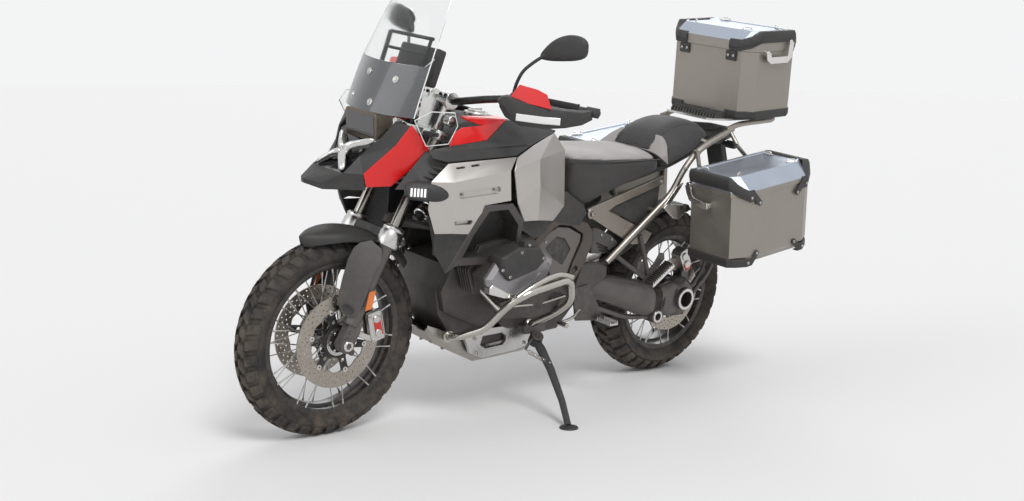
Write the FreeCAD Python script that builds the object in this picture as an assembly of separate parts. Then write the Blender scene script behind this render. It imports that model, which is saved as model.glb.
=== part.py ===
"""Adventure motorcycle, parked on its side stand.

Every piece is built on an upright machine: X forward, Y to the rider's left, Z up, with its
origin on the ground halfway between the axles.  The finished shapes are then leaned on to the
side stand, with both tyres and the foot of the stand on the floor.
"""
import FreeCAD, Part
import math
import os

Vector = FreeCAD.Vector
X_AXIS = Vector(1, 0, 0)
Y_AXIS = Vector(0, 1, 0)
Z_AXIS = Vector(0, 0, 1)

# ---------------------------------------------------------------- driving dimensions, mm, deg
WHEELBASE = 1534.0
HEAD_ANGLE = 63.8
TRAIL = 119.0
LEAN = 6.5
REST_SHIFT_X = -70.0          # from the leaned middle of the wheelbase to the middle of the machine
REST_SHIFT_Y = 108.0

FRONT_TYRE_R = 330.0
FRONT_TYRE_HALF = 60.0
FRONT_SEAT_R = 241.3
FRONT_RIM_HALF = 41.0
REAR_TYRE_R = 322.0
REAR_TYRE_HALF = 85.0
REAR_SEAT_R = 215.9
REAR_RIM_HALF = 60.0
RIM_WALL = 3.0
RIM_FLANGE = 11.7
SPOKE_PAIRS = 10
SPOKE_D = 5.0

FRONT_HUB_R = 27.0
FRONT_HUB_HALF = 56.0
FRONT_SPOKE_FLANGE_R = 38.0
FRONT_SPOKE_FLANGE_Y = 28.0
FRONT_DISC_R = 155.0
FRONT_DISC_Y = 62.0
REAR_HUB_R = 60.0
REAR_SPOKE_FLANGE_R = 70.0
REAR_SPOKE_FLANGE_Y = 38.0
REAR_DISC_R = 142.5
REAR_DISC_Y = 84.0
DISC_T = 5.0
DISC_BAND = 52.0
AXLE_R = 12.5
AXLE_BORE_R = 9.0
STUB_AXLE_R = 27.0
STUB_BORE_R = 14.0
BEARING_GAP = 0.3
PAD_GAP = 5.2
WELL_R = 140.0                # room for the fork to swing in

LEG_Y = 101.0
LEG_OFFSET = 52.0             # legs ahead of the steering axis
SLIDER_R = 28.0
STANCHION_R = 18.5
COLLAR_R = 37.0
COLLAR_H = 62.0
COLLAR_TOP_T = 757.0          # distances along the steering axis, from the ground
BRIDGE_T = COLLAR_TOP_T - 55.0
CLAMP_T = 1064.0
CLAMP_H = 24.0
STEM_R = 15.0
BALL_PIN_R = 10.0
HEADSTOCK_R = 30.0
HEADSTOCK_H = 70.0

BAR_D = 28.0
BAR_RISE = 142.0              # handlebar over the foot of the top clamp, and ahead of its axis
BAR_AHEAD = 29.5
BAR_DRAWN = (380.0, 1095.0)   # x, z of the bar for which guards and mirrors are drawn
BAR_HALF = 455.0
GRIP_D = 34.0
CRASH_TUBE_D = 26.0
RAIL_TUBE_D = 24.0
CARRIER_TUBE_D = 16.0

ENGINE_HALF = 150.0
ARM_PIVOT_X = -275.0
HEAD_OUT_Y = 330.0
TANK_PANEL_T = 8.0
SCREEN_T = 4.0
GADGET_BAR_R = 6.0

CASE_WALL = 2.5
CASE_LENGTH = 430.0
CASE_HEIGHT = 263.0
CASE_INNER_Y = 252.0
CASE_OUTER_Y = 486.0
CASE_FRONT = (-645.0, 528.0)  # x, z of the lower front corner
CASE_TILT = 7.0
LID_H = 66.0
LID_EDGE_H = 20.0              # height of a lid's outer edge, below its sloping border
LID_SLOPE = 50.0               # width of that border
LID_GAP = 0.5
LID_LAP = 4.0                  # a lid is wider than its case by this, all round
TOP_CASE_LENGTH = 300.0
TOP_CASE_HALF = 208.0
TOP_CASE_HEIGHT = 257.0
TOP_CASE_FRONT = (-930.0, 1014.0)
TOP_CASE_TILT = 3.0
TOP_LID_H = 75.0
TOP_LID_EDGE_H = 40.0

STAND_PIVOT = (15.0, 182.0, 272.0)
STAND_PIN_R = 8.0
STAND_FOOT = (96.0, 470.0)    # x, y of the foot, whose height follows from the floor

# ---------------------------------------------------------------- steering geometry
HEAD = math.radians(HEAD_ANGLE)
AXLE_X = WHEELBASE / 2.0
FRONT_AXLE = Vector(AXLE_X, 0, FRONT_TYRE_R)
REAR_AXLE = Vector(-AXLE_X, 0, REAR_TYRE_R)
STEER_GROUND = Vector(AXLE_X + TRAIL, 0, 0)
STEER_DIR = Vector(-math.cos(HEAD), 0, math.sin(HEAD))
STEER_AHEAD = Vector(math.sin(HEAD), 0, math.cos(HEAD))


def steer_point(along, ahead=0.0, y=0.0):
    """A point by its distance up the steering axis, ahead of it, and to the left."""
    return STEER_GROUND + STEER_DIR * along + STEER_AHEAD * ahead + Vector(0, y, 0)


AXLE_T = (FRONT_AXLE - STEER_GROUND).dot(STEER_DIR)
AXLE_AHEAD = (FRONT_AXLE - STEER_GROUND).dot(STEER_AHEAD)


# ---------------------------------------------------------------- parking on the stand
def lowest_of_tyre(centre, radius, crown, turn):
    """Height of the lowest point of a leaned tyre whose crown is a round of the given radius."""
    at = turn.multVec(centre)
    axle = turn.multVec(Y_AXIS)
    return at.z - (radius - crown) * math.sqrt(1.0 - axle.z ** 2) - crown


def parked_placement():
    """Lean to the left, then pitch until both tyres reach the same floor."""
    lean = FreeCAD.Rotation(X_AXIS, -LEAN)
    pitch = 0.0
    for _ in range(8):
        turn = FreeCAD.Rotation(Y_AXIS, pitch).multiply(lean)
        front = lowest_of_tyre(FRONT_AXLE, FRONT_TYRE_R, FRONT_TYRE_HALF, turn)
        rear = lowest_of_tyre(REAR_AXLE, REAR_TYRE_R, REAR_TYRE_HALF, turn)
        pitch += math.degrees(math.atan2(front - rear, WHEELBASE))
    return FreeCAD.Placement(Vector(REST_SHIFT_X * -1, REST_SHIFT_Y * -1, -front), turn)


PARKED = parked_placement()
TO_UPRIGHT = PARKED.inverse()


# ---------------------------------------------------------------- shape helpers
def cylinder(start, end, radius):
    """A round bar from one point to another."""
    along = end - start
    return Part.makeCylinder(radius, along.Length, start, along)


def ring(start, end, radius, bore):
    """A round bar with a hole through it."""
    return cylinder(start, end, radius).cut(cylinder(start, end, bore))


def face_of(points):
    """A flat face through a list of points."""
    return Part.Face(Part.makePolygon(list(points) + [points[0]]))


def plate(outline, y0, y1):
    """A plate cut to an outline of x, z pairs, standing between two values of y."""
    corners = [Vector(x, y0, z) for x, z in outline]
    return face_of(corners).extrude(Vector(0, y1 - y0, 0))


def loft(sections, ruled=True):
    """A solid through closed outlines with the same number of corners."""
    wires = [Part.makePolygon(list(one) + [one[0]]) for one in sections]
    return Part.makeLoft(wires, True, ruled)


def across(x, corners):
    """A cross section at x, symmetrical about the middle: y, z pairs from bottom to top."""
    left = [Vector(x, y, z) for y, z in corners]
    right = [Vector(x, -y, z) for y, z in reversed(corners)]
    return left + right


def panel(outer, thickness):
    """A sheet panel: its outer corners as x, y, z, and its thickness towards the middle."""
    skin = [Vector(*p) for p in outer]
    middle = Vector(0, 0, 0)
    for p in skin:
        middle += p * (1.0 / len(skin))
    pieces = []
    step = Vector(0, -thickness if middle.y > 0 else thickness, 0)
    for i, p in enumerate(skin):
        q = skin[(i + 1) % len(skin)]
        pieces.append(wedge(middle, p, q, step))
    solid = pieces[0].fuse(pieces[1:])
    return solid


def wedge(a, b, c, step):
    """A three-sided prism from a triangle moved by a step."""
    return face_of([a, b, c]).extrude(step)


def tube(points, diameter, bend=30.0):
    """A bent tube through points, with a round bend of the given radius at each inner one."""
    points = [Vector(*p) for p in points]
    edges = []
    start = points[0]
    for i in range(1, len(points) - 1):
        into = (points[i] - points[i - 1]).normalize()
        out = (points[i + 1] - points[i]).normalize()
        turn = into.getAngle(out)
        room = 0.45 * min((points[i] - points[i - 1]).Length, (points[i + 1] - points[i]).Length)
        reach = min(room, bend * math.tan(turn / 2.0))
        radius = reach / math.tan(turn / 2.0)
        first = points[i] - into * reach
        last = points[i] + out * reach
        middle_dir = (out - into).normalize()
        centre = points[i] + middle_dir * (radius / math.cos(turn / 2.0))
        middle = centre - middle_dir * radius
        if (first - start).Length > 0.01:
            edges.append(Part.LineSegment(start, first).toShape())
        edges.append(Part.Arc(first, middle, last).toShape())
        start = last
    edges.append(Part.LineSegment(start, points[-1]).toShape())
    path = Part.Wire(edges)
    profile = Part.Wire(Part.Circle(points[0], points[1] - points[0], diameter / 2.0).toShape())
    return path.makePipeShell([profile], True, True)


def flip(shape):
    """The same piece on the other side of the machine."""
    return shape.mirror(Vector(0, 0, 0), Y_AXIS)


def both(shape):
    """The left piece and its mirror image."""
    return [shape, flip(shape)]


def turned(profile, centre, angle=360.0, start=0.0):
    """A profile of radius, y pairs turned about a wheel's axle."""
    corners = [Vector(centre.x + r, centre.y + y, centre.z) for r, y in profile]
    body = face_of(corners).revolve(centre, Y_AXIS, -angle)
    body.rotate(centre, Y_AXIS, -start)
    return body


def less(shape, others):
    """A shape with its neighbours' room taken out."""
    for other in others:
        if shape.BoundBox.intersect(other.BoundBox):
            shape = shape.cut(other)
    return shape


nodes = {}


def keep(name, solids):
    """Store a sub-part: every solid of the shapes given, in upright coordinates."""
    if not isinstance(solids, list):
        solids = [solids]
    found = []
    for solid in solids:
        found += [s for s in solid.Solids if s.Volume > 200.0]
    nodes[name] = found
    return found


# ---------------------------------------------------------------- wheels
def tyre(centre, radius, half, seat_r, rim_half):
    """A tyre from bead to tread, its crown a round as wide as the tyre."""
    bead = rim_half - RIM_WALL - 0.5
    flange_r = seat_r + RIM_FLANGE + 1.5
    side_r = radius - half

    def at(r, y):
        return Vector(centre.x + r, centre.y + y, centre.z)

    corners = [at(side_r, -half), at(flange_r, -rim_half - 1), at(flange_r, -bead),
               at(seat_r + 0.5, -bead), at(seat_r + 0.5, bead), at(flange_r, bead),
               at(flange_r, rim_half + 1), at(side_r, half)]
    edges = [Part.LineSegment(a, b).toShape() for a, b in zip(corners, corners[1:])]
    edges.append(Part.Arc(corners[-1], at(radius, 0), corners[0]).toShape())
    return Part.Face(Part.Wire(edges)).revolve(centre, Y_AXIS, 360)


def rim(centre, seat_r, rim_half):
    """A rim with two flanges and a well, as a closed section."""
    flange_r = seat_r + RIM_FLANGE
    wall = rim_half - RIM_WALL
    profile = [(flange_r, rim_half), (flange_r, wall), (seat_r, wall), (seat_r, -wall),
               (flange_r, -wall), (flange_r, -rim_half), (seat_r - 5, -rim_half),
               (seat_r - 8, -0.4 * rim_half), (seat_r - 19, -0.28 * rim_half),
               (seat_r - 19, 0.28 * rim_half), (seat_r - 8, 0.4 * rim_half),
               (seat_r - 5, rim_half)]
    return turned(profile, centre)


def spokes(centre, rim_r, rim_y, hub_r, hub_y):
    """Crossed pairs of spokes from the rim's edges to the hub's two flanges."""
    bars = []
    for side in (-1, 1):
        for i in range(SPOKE_PAIRS):
            for lean in (-1, 1):
                rim_at = math.radians(360.0 / SPOKE_PAIRS * (i + 0.25 * side + 0.13 * lean))
                hub_at = rim_at + lean * math.radians(52.0)
                outer = centre + Vector(rim_r * math.cos(rim_at), side * rim_y,
                                        rim_r * math.sin(rim_at))
                inner = centre + Vector(hub_r * math.cos(hub_at), side * (hub_y + 2.6 * lean),
                                        hub_r * math.sin(hub_at))
                bars.append(cylinder(outer, inner, SPOKE_D / 2.0))
    return bars


def brake_disc(centre, y, radius, bore, arms):
    """A flat braking band held by the arms of its carrier, in one thickness."""
    face = centre + Vector(0, y, 0)
    over = Vector(0, DISC_T, 0)
    band = ring(face, face + over, radius, radius - DISC_BAND)
    middle = ring(face, face + over, bore + 16.0, bore)
    webs = []
    for i in range(arms):
        arm = Part.makeBox(radius - DISC_BAND + 4.0 - bore - 8.0, DISC_T, 16.0,
                           Vector(bore + 8.0, y, -8.0))
        arm.rotate(Vector(0, 0, 0), Y_AXIS, 360.0 / arms * i)
        arm.translate(centre)
        webs.append(arm)
    return band.fuse([middle] + webs)


keep("front_tyre", tyre(FRONT_AXLE, FRONT_TYRE_R, FRONT_TYRE_HALF, FRONT_SEAT_R, FRONT_RIM_HALF))
keep("front_rim", rim(FRONT_AXLE, FRONT_SEAT_R, FRONT_RIM_HALF))
front_hub = turned([(AXLE_R + BEARING_GAP, FRONT_HUB_HALF), (FRONT_HUB_R, FRONT_HUB_HALF),
                    (FRONT_HUB_R, FRONT_SPOKE_FLANGE_Y + 5),
                    (FRONT_SPOKE_FLANGE_R, FRONT_SPOKE_FLANGE_Y + 5),
                    (FRONT_SPOKE_FLANGE_R, FRONT_SPOKE_FLANGE_Y - 5),
                    (FRONT_HUB_R - 6, FRONT_SPOKE_FLANGE_Y - 8),
                    (FRONT_HUB_R - 6, -FRONT_SPOKE_FLANGE_Y + 8),
                    (FRONT_SPOKE_FLANGE_R, -FRONT_SPOKE_FLANGE_Y + 5),
                    (FRONT_SPOKE_FLANGE_R, -FRONT_SPOKE_FLANGE_Y - 5),
                    (FRONT_HUB_R, -FRONT_SPOKE_FLANGE_Y - 5), (FRONT_HUB_R, -FRONT_HUB_HALF),
                    (AXLE_R + BEARING_GAP, -FRONT_HUB_HALF)], FRONT_AXLE)
keep("front_hub", front_hub.fuse(spokes(FRONT_AXLE, FRONT_SEAT_R - 6.9, FRONT_RIM_HALF - 5,
                                        FRONT_SPOKE_FLANGE_R - 2, FRONT_SPOKE_FLANGE_Y)))
disc_bore = FRONT_HUB_R + 1.0
front_disc = brake_disc(FRONT_AXLE, FRONT_DISC_Y, FRONT_DISC_R, AXLE_R + 6.0, 6)
carrier = ring(FRONT_AXLE + Vector(0, FRONT_HUB_HALF, 0),
               FRONT_AXLE + Vector(0, FRONT_DISC_Y, 0), FRONT_HUB_R, AXLE_R + 6.0)
keep("front_discs", both(front_disc.fuse(carrier)))

keep("rear_tyre", tyre(REAR_AXLE, REAR_TYRE_R, REAR_TYRE_HALF, REAR_SEAT_R, REAR_RIM_HALF))
keep("rear_rim", rim(REAR_AXLE, REAR_SEAT_R, REAR_RIM_HALF))
rear_hub = turned([(STUB_AXLE_R + BEARING_GAP, REAR_DISC_Y), (REAR_HUB_R, REAR_DISC_Y),
                   (REAR_HUB_R, REAR_SPOKE_FLANGE_Y + 6),
                   (REAR_SPOKE_FLANGE_R, REAR_SPOKE_FLANGE_Y + 6),
                   (REAR_SPOKE_FLANGE_R, REAR_SPOKE_FLANGE_Y - 6),
                   (REAR_HUB_R - 8, REAR_SPOKE_FLANGE_Y - 10),
                   (REAR_HUB_R - 8, -REAR_SPOKE_FLANGE_Y + 10),
                   (REAR_SPOKE_FLANGE_R, -REAR_SPOKE_FLANGE_Y + 6),
                   (REAR_SPOKE_FLANGE_R, -REAR_SPOKE_FLANGE_Y - 6),
                   (REAR_HUB_R - 8, -REAR_SPOKE_FLANGE_Y - 10),
                   (STUB_AXLE_R + BEARING_GAP, -REAR_SPOKE_FLANGE_Y - 10)], REAR_AXLE)
keep("rear_hub", rear_hub.fuse(spokes(REAR_AXLE, REAR_SEAT_R - 6.9, REAR_RIM_HALF - 6,
                                      REAR_SPOKE_FLANGE_R - 2, REAR_SPOKE_FLANGE_Y)))
keep("rear_disc", brake_disc(REAR_AXLE, REAR_DISC_Y, REAR_DISC_R, STUB_AXLE_R + 2.0, 5))

# ---------------------------------------------------------------- fork, bars and mudguard
leg_foot_t = AXLE_T - 12.0
leg_low = steer_point(leg_foot_t, LEG_OFFSET, LEG_Y)
leg_collar = steer_point(COLLAR_TOP_T - COLLAR_H, LEG_OFFSET, LEG_Y)
leg_top = steer_point(COLLAR_TOP_T, LEG_OFFSET, LEG_Y)
slider = cylinder(leg_low, leg_collar, SLIDER_R)
foot = cylinder(FRONT_AXLE + Vector(0, LEG_Y - 22, 0), FRONT_AXLE + Vector(0, LEG_Y + 16, 0), 27.0)
axle_half = cylinder(FRONT_AXLE, FRONT_AXLE + Vector(0, LEG_Y + 18, 0), AXLE_R)
axle_spacer = cylinder(FRONT_AXLE + Vector(0, FRONT_DISC_Y + DISC_T + 1.0, 0),
                       FRONT_AXLE + Vector(0, LEG_Y - 20, 0), AXLE_R + 5.0)
left_leg = slider.fuse([foot, axle_half, axle_spacer])
axle_hole = cylinder(FRONT_AXLE - Y_AXIS * 200, FRONT_AXLE + Y_AXIS * 200, AXLE_BORE_R)
fork_sliders = left_leg.fuse(flip(left_leg)).cut(axle_hole)
keep("fork_sliders", fork_sliders)

collar = cylinder(leg_collar, leg_top, COLLAR_R)
bridge_block = [steer_point(BRIDGE_T, 78, -LEG_Y), steer_point(BRIDGE_T, 78, LEG_Y),
                steer_point(BRIDGE_T, 30, LEG_Y), steer_point(BRIDGE_T, -26, 32),
                steer_point(BRIDGE_T, -26, -32), steer_point(BRIDGE_T, 30, -LEG_Y)]
bridge = face_of(bridge_block).extrude(STEER_DIR * (COLLAR_TOP_T - BRIDGE_T - 12))
ball_pin = cylinder(steer_point(BRIDGE_T), steer_point(COLLAR_TOP_T + 40), BALL_PIN_R)
keep("fork_bridge", bridge.fuse(both(collar) + [ball_pin]))

stanchion = cylinder(leg_top, steer_point(CLAMP_T + CLAMP_H + 4, LEG_OFFSET, LEG_Y), STANCHION_R)
clamp_outline = [steer_point(CLAMP_T, 78, -LEG_Y - 16), steer_point(CLAMP_T, 78, LEG_Y + 16),
                 steer_point(CLAMP_T, 26, LEG_Y + 24), steer_point(CLAMP_T, -26, 60),
                 steer_point(CLAMP_T, -26, -60), steer_point(CLAMP_T, 26, -LEG_Y - 24)]
clamp = face_of(clamp_outline).extrude(STEER_DIR * CLAMP_H)
stem = cylinder(steer_point(CLAMP_T - HEADSTOCK_H - 12), steer_point(CLAMP_T + 2), STEM_R)
keep("fork_stanchions", clamp.fuse(both(stanchion) + [stem]))

bar_mid = steer_point(CLAMP_T + BAR_RISE, BAR_AHEAD)
bar_x, bar_z = bar_mid.x, bar_mid.z
bar_shift = Vector(bar_x - BAR_DRAWN[0], 0, bar_z - BAR_DRAWN[1])
bar_points = [(bar_x, 0, bar_z), (bar_x, 72, bar_z), (bar_x - 68, 190, bar_z + 26),
              (bar_x - 128, 285, bar_z + 38), (bar_x - 236, BAR_HALF, bar_z + 24)]
left_bar = tube(bar_points, 22.0, 60)
clamp_bar = cylinder(Vector(bar_x, -58, bar_z), Vector(bar_x, 58, bar_z), 19.0)
riser_foot = steer_point(CLAMP_T + CLAMP_H)
riser_block = face_of([riser_foot + Vector(-30, -66, -14), riser_foot + Vector(30, -66, 16),
                       Vector(bar_x + 26, -66, bar_z - 24), Vector(bar_x + 24, -66, bar_z + 20),
                       Vector(bar_x - 18, -66, bar_z + 26), Vector(bar_x - 34, -66, bar_z - 8)])
riser_block = riser_block.extrude(Vector(0, 132, 0))
handlebar = left_bar.fuse([flip(left_bar), clamp_bar, riser_block])
grip_root = Vector(*bar_points[3])
grip_end = Vector(*bar_points[4])
grip_dir = (grip_end - grip_root).normalize()
grip = ring(grip_root + grip_dir * 45, grip_end - grip_dir * 8, GRIP_D / 2.0, 10.0)
handlebar = handlebar.fuse(both(grip))
keep("handlebar", less(handlebar, nodes["fork_stanchions"]))

# upper and lower edges of the guard, from its inner end to the end of the bar
guard_rail = [(348, 282, 1108, 1158), (322, 350, 1090, 1168), (262, 430, 1086, 1160),
              (206, 466, 1090, 1144), (152, 474, 1096, 1134)]
guard_sections = []
for x, y, low, high in guard_rail:
    guard_sections.append([Vector(x, y, low), Vector(x, y, high), Vector(x - 9, y - 6, high),
                           Vector(x - 9, y - 6, low)])
guard = loft(guard_sections)
guard_end = cylinder(grip_end - grip_dir * 6, grip_end + grip_dir * 16, 16.0)
guard.translate(bar_shift)
hand_guard = guard.fuse(guard_end)
keep("hand_guards", [less(one, [handlebar]) for one in both(hand_guard)])

mirror_stalk = tube([(290, 262, 1136), (296, 268, 1180), (262, 330, 1262), (246, 400, 1300)], 12.0)
mirror_shell = loft([[Vector(228, 352, 1298), Vector(232, 352, 1326), Vector(252, 352, 1326),
                      Vector(250, 352, 1298)],
                     [Vector(218, 400, 1284), Vector(222, 400, 1346), Vector(262, 400, 1340),
                      Vector(258, 400, 1290)],
                     [Vector(205, 490, 1292), Vector(209, 490, 1342), Vector(246, 490, 1336),
                      Vector(242, 490, 1298)]])
mirror_clamp = cylinder(Vector(290, 250, 1133), Vector(290, 274, 1133), 16.0)
mirror = mirror_shell.fuse([mirror_stalk, mirror_clamp])
mirror.translate(bar_shift)
keep("mirrors", [less(one, nodes["handlebar"]) for one in both(mirror)])

fender_section = [(322, -76), (346, -74), (364, -40), (369, 0), (364, 40), (346, 74), (322, 76),
                  (322, 73), (343, 71), (361, 38), (365, 0), (361, -38), (343, -71), (322, -73)]
fender = turned(fender_section, FRONT_AXLE, 66.0, 73.0)
guard_top_t = COLLAR_TOP_T - 15
fork_guard_front = face_of([steer_point(470, LEG_OFFSET + 31, 84),
                            steer_point(470, LEG_OFFSET + 31, 124),
                            steer_point(620, LEG_OFFSET + 31, 138),
                            steer_point(guard_top_t, LEG_OFFSET + 31, 142),
                            steer_point(guard_top_t, LEG_OFFSET + 31, 60),
                            steer_point(650, LEG_OFFSET + 31, 66)])
fork_guard_front = fork_guard_front.extrude(STEER_AHEAD * 4.0)
fork_guard_side = face_of([steer_point(470, LEG_OFFSET + 35, 135),
                           steer_point(500, LEG_OFFSET - 6, 135),
                           steer_point(guard_top_t - 42, LEG_OFFSET - 30, 135),
                           steer_point(guard_top_t, LEG_OFFSET + 35, 135)])
fork_guard_side = fork_guard_side.extrude(Vector(0, 4, 0))
guards = both(fork_guard_front.fuse(fork_guard_side))
front_fender = fender.fuse(guards)
leg_room = cylinder(steer_point(400, LEG_OFFSET, LEG_Y), steer_point(COLLAR_TOP_T + 3, LEG_OFFSET,
                                                                    LEG_Y), SLIDER_R + 1.0)
collar_room = cylinder(steer_point(COLLAR_TOP_T - 67, LEG_OFFSET, LEG_Y),
                       steer_point(COLLAR_TOP_T + 3, LEG_OFFSET, LEG_Y), COLLAR_R + 1.0)
front_fender = less(front_fender, both(leg_room) + both(collar_room) + nodes["fork_bridge"])
keep("front_fender", front_fender)

caliper_mid = steer_point(AXLE_T + 88, AXLE_AHEAD - 112, 0)
caliper = Part.makeBox(52, 44, 104, Vector(-26, 0, -52))
caliper.rotate(Vector(0, 0, 0), Y_AXIS, -16)
caliper.translate(caliper_mid + Vector(0, FRONT_DISC_Y - 20, 0))
caliper_arm = face_of([steer_point(AXLE_T + 60, AXLE_AHEAD - 90, 82),
                       steer_point(AXLE_T + 130, AXLE_AHEAD - 90, 82),
                       steer_point(AXLE_T + 150, LEG_OFFSET - 22, 82),
                       steer_point(AXLE_T + 40, LEG_OFFSET - 22, 82)]).extrude(Vector(0, 12, 0))
caliper = caliper.fuse(caliper_arm)
disc_room = ring(FRONT_AXLE + Vector(0, FRONT_DISC_Y - PAD_GAP, 0),
                 FRONT_AXLE + Vector(0, FRONT_DISC_Y + DISC_T + PAD_GAP, 0), FRONT_DISC_R + 5, 60.0)
spoke_room = ring(FRONT_AXLE, FRONT_AXLE + Vector(0, FRONT_RIM_HALF + 4, 0), 250.0, 60.0)
caliper = less(caliper, [disc_room, spoke_room, slider])
keep("front_calipers", both(caliper))

# ---------------------------------------------------------------- engine and gearbox
engine_outline = [(400, 380), (420, 470), (380, 560), (120, 610), (-60, 570), (-240, 490),
                  (-262, 370), (-160, 262), (240, 240), (330, 290)]
engine = plate(engine_outline, -ENGINE_HALF, ENGINE_HALF)
keep("engine_block", engine)

barrel_outline = [(345, 478), (375, 560), (330, 640), (120, 670), (60, 610), (95, 530), (240, 470)]
head_outline = [(352, 500), (372, 560), (332, 628), (135, 655), (75, 600), (108, 540), (238, 482)]
barrel = plate(barrel_outline, ENGINE_HALF, 216)
head_root = [Vector(x, 216, z) for x, z in barrel_outline]
head_end = [Vector(x, HEAD_OUT_Y - 14, z) for x, z in head_outline]
keep("cylinders", both(barrel.fuse(loft([head_root, head_end]))))

guard_outline = [(366, 604), (300, 640), (180, 654), (160, 604), (205, 566), (298, 530), (352, 560)]
guard_in = [Vector(x, HEAD_OUT_Y - 14, z) for x, z in guard_outline]
guard_out = [Vector(0.88 * x + 31, HEAD_OUT_Y + 6, 0.88 * z + 71) for x, z in guard_outline]
keep("cylinder_guards", both(loft([guard_in, guard_out])))

# ---------------------------------------------------------------- main frame and telelever
head_low = steer_point(CLAMP_T - HEADSTOCK_H - 8)
head_high = steer_point(CLAMP_T - 5)
head_room = cylinder(steer_point(900), steer_point(1200), STEM_R + BEARING_GAP)
headstock = cylinder(head_low, head_high, HEADSTOCK_R)
neck = face_of([head_high + Vector(10, -46, -20), head_low + Vector(-5, -46, 4),
                Vector(300, -46, 800), Vector(180, -46, 880), head_high + Vector(-88, -46, -45)]).extrude(Vector(0, 92, 0))
beam_outline = [(head_high.x - 118, head_high.z - 35), (head_low.x - 81, head_low.z - 84), (330, 640), (270, 640), (230, 740), (0, 690),
                (-150, 640), (-200, 560), (-262, 560), (-250, 700), (-160, 760), (60, 830),
                (180, 900)]
left_beam = plate(beam_outline, 46, 72)
pivot_outline = [(-200, 690), (-130, 690), (-60, 575), (-100, 440), (-130, 300), (-200, 300),
                 (-300, 420), (-290, 480), (-262, 560)]
pivot_plate = plate(pivot_outline, ENGINE_HALF + 1, ENGINE_HALF + 15)
cross_tube = cylinder(Vector(-225, 0, 600), Vector(-225, ENGINE_HALF + 1, 600), 20.0)
arm_tube = cylinder(Vector(332, 0, 662), Vector(332, 128, 662), 12.0)
half_frame = left_beam.fuse([pivot_plate, cross_tube, arm_tube])
main_frame = headstock.fuse([neck, half_frame, flip(half_frame)]).cut(head_room)
keep("main_frame", less(main_frame, nodes["engine_block"]))

ball_at = steer_point(COLLAR_TOP_T + 22)
eye = cylinder(ball_at - STEER_DIR * 14, ball_at + STEER_DIR * 14, 27.0)
arm_side = loft([[ball_at + Vector(-12, 0, -10), ball_at + Vector(-12, 24, -10),
                  ball_at + Vector(-12, 24, 12), ball_at + Vector(-12, 0, 12)],
                 [Vector(358, 86, 652), Vector(358, 118, 652), Vector(358, 118, 676),
                  Vector(358, 86, 676)]])
arm_eye = cylinder(Vector(332, 84, 662), Vector(332, 120, 662), 27.0)
half_arm = arm_side.fuse(arm_eye)
strut_foot = ball_at + Vector(-102, 0, -9)
strut_head = Vector(306, 0, 786)
arm_cross = cylinder(ball_at + Vector(-112, -70, -17), ball_at + Vector(-112, 70, -17), 13.0)
arm = eye.fuse([half_arm, flip(half_arm), arm_cross])
arm = arm.cut(cylinder(steer_point(700), steer_point(900), BALL_PIN_R + BEARING_GAP))
arm = arm.cut(cylinder(Vector(332, -130, 662), Vector(332, 130, 662), 12.0 + BEARING_GAP))
keep("front_arm", less(arm, nodes["main_frame"] + [cylinder(strut_foot, strut_head, 30.0)]))
keep("front_strut", less(cylinder(strut_foot, strut_head, 29.0), nodes["main_frame"]))

# ---------------------------------------------------------------- swingarm and final drive
# share of the way from the pivot to the axle, inner and outer y, bottom and top z
arm_table = [(-0.051, 60, 148, 380, 478), (0.112, 70, 165, 352, 452), (0.315, 94, 172, 312, 420),
             (0.742, 96, 166, REAR_AXLE.z - 84, REAR_AXLE.z + 28),
             (0.904, 96, 158, REAR_AXLE.z - 60, REAR_AXLE.z + 66)]
arm_sections = []
for share, inner_y, outer_y, low, high in arm_table:
    x = ARM_PIVOT_X + share * (REAR_AXLE.x - ARM_PIVOT_X)
    arm_sections.append([Vector(x, inner_y, low), Vector(x, outer_y, low),
                         Vector(x, outer_y, high), Vector(x, inner_y, high)])
long_arm = loft(arm_sections)
drive_case = cylinder(REAR_AXLE + Vector(0, REAR_DISC_Y + DISC_T + 5, 0),
                      REAR_AXLE + Vector(0, 156, 0), 78.0)
drive_ring = ring(REAR_AXLE + Vector(0, 150, 0), REAR_AXLE + Vector(0, 168, 0), 44.0, 30.0)
stub_axle = cylinder(REAR_AXLE + Vector(0, -REAR_SPOKE_FLANGE_Y - 16, 0),
                     REAR_AXLE + Vector(0, 130, 0), STUB_AXLE_R)
axle_nut = cylinder(REAR_AXLE + Vector(0, -REAR_SPOKE_FLANGE_Y - 34, 0),
                    REAR_AXLE + Vector(0, -REAR_SPOKE_FLANGE_Y - 16, 0), STUB_AXLE_R + 14)
cross_member = Part.makeBox(70, 230, 78, Vector(-318, -150, 388))
pivot_pin = cylinder(Vector(ARM_PIVOT_X, -148, 432), Vector(ARM_PIVOT_X, 148, 432), 24.0)
swingarm = long_arm.fuse([drive_case, drive_ring, cross_member, pivot_pin])
swingarm = less(swingarm, nodes["engine_block"] + nodes["main_frame"])
swingarm = swingarm.cut(cylinder(REAR_AXLE + Vector(0, -80, 0), REAR_AXLE + Vector(0, 200, 0),
                                 STUB_AXLE_R))
rear_caliper = Part.makeBox(92, 52, 48, Vector(-46, REAR_DISC_Y - 20, -24))
rear_caliper.rotate(Vector(0, 0, 0), Y_AXIS, -28)
rear_caliper.translate(REAR_AXLE + Vector(-70, 0, 124))
rear_disc_room = ring(REAR_AXLE + Vector(0, REAR_DISC_Y - PAD_GAP, 0),
                      REAR_AXLE + Vector(0, REAR_DISC_Y + DISC_T + PAD_GAP, 0), REAR_DISC_R + 5, 60.0)
rear_caliper = less(rear_caliper, [rear_disc_room] + swingarm.Solids)
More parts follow.
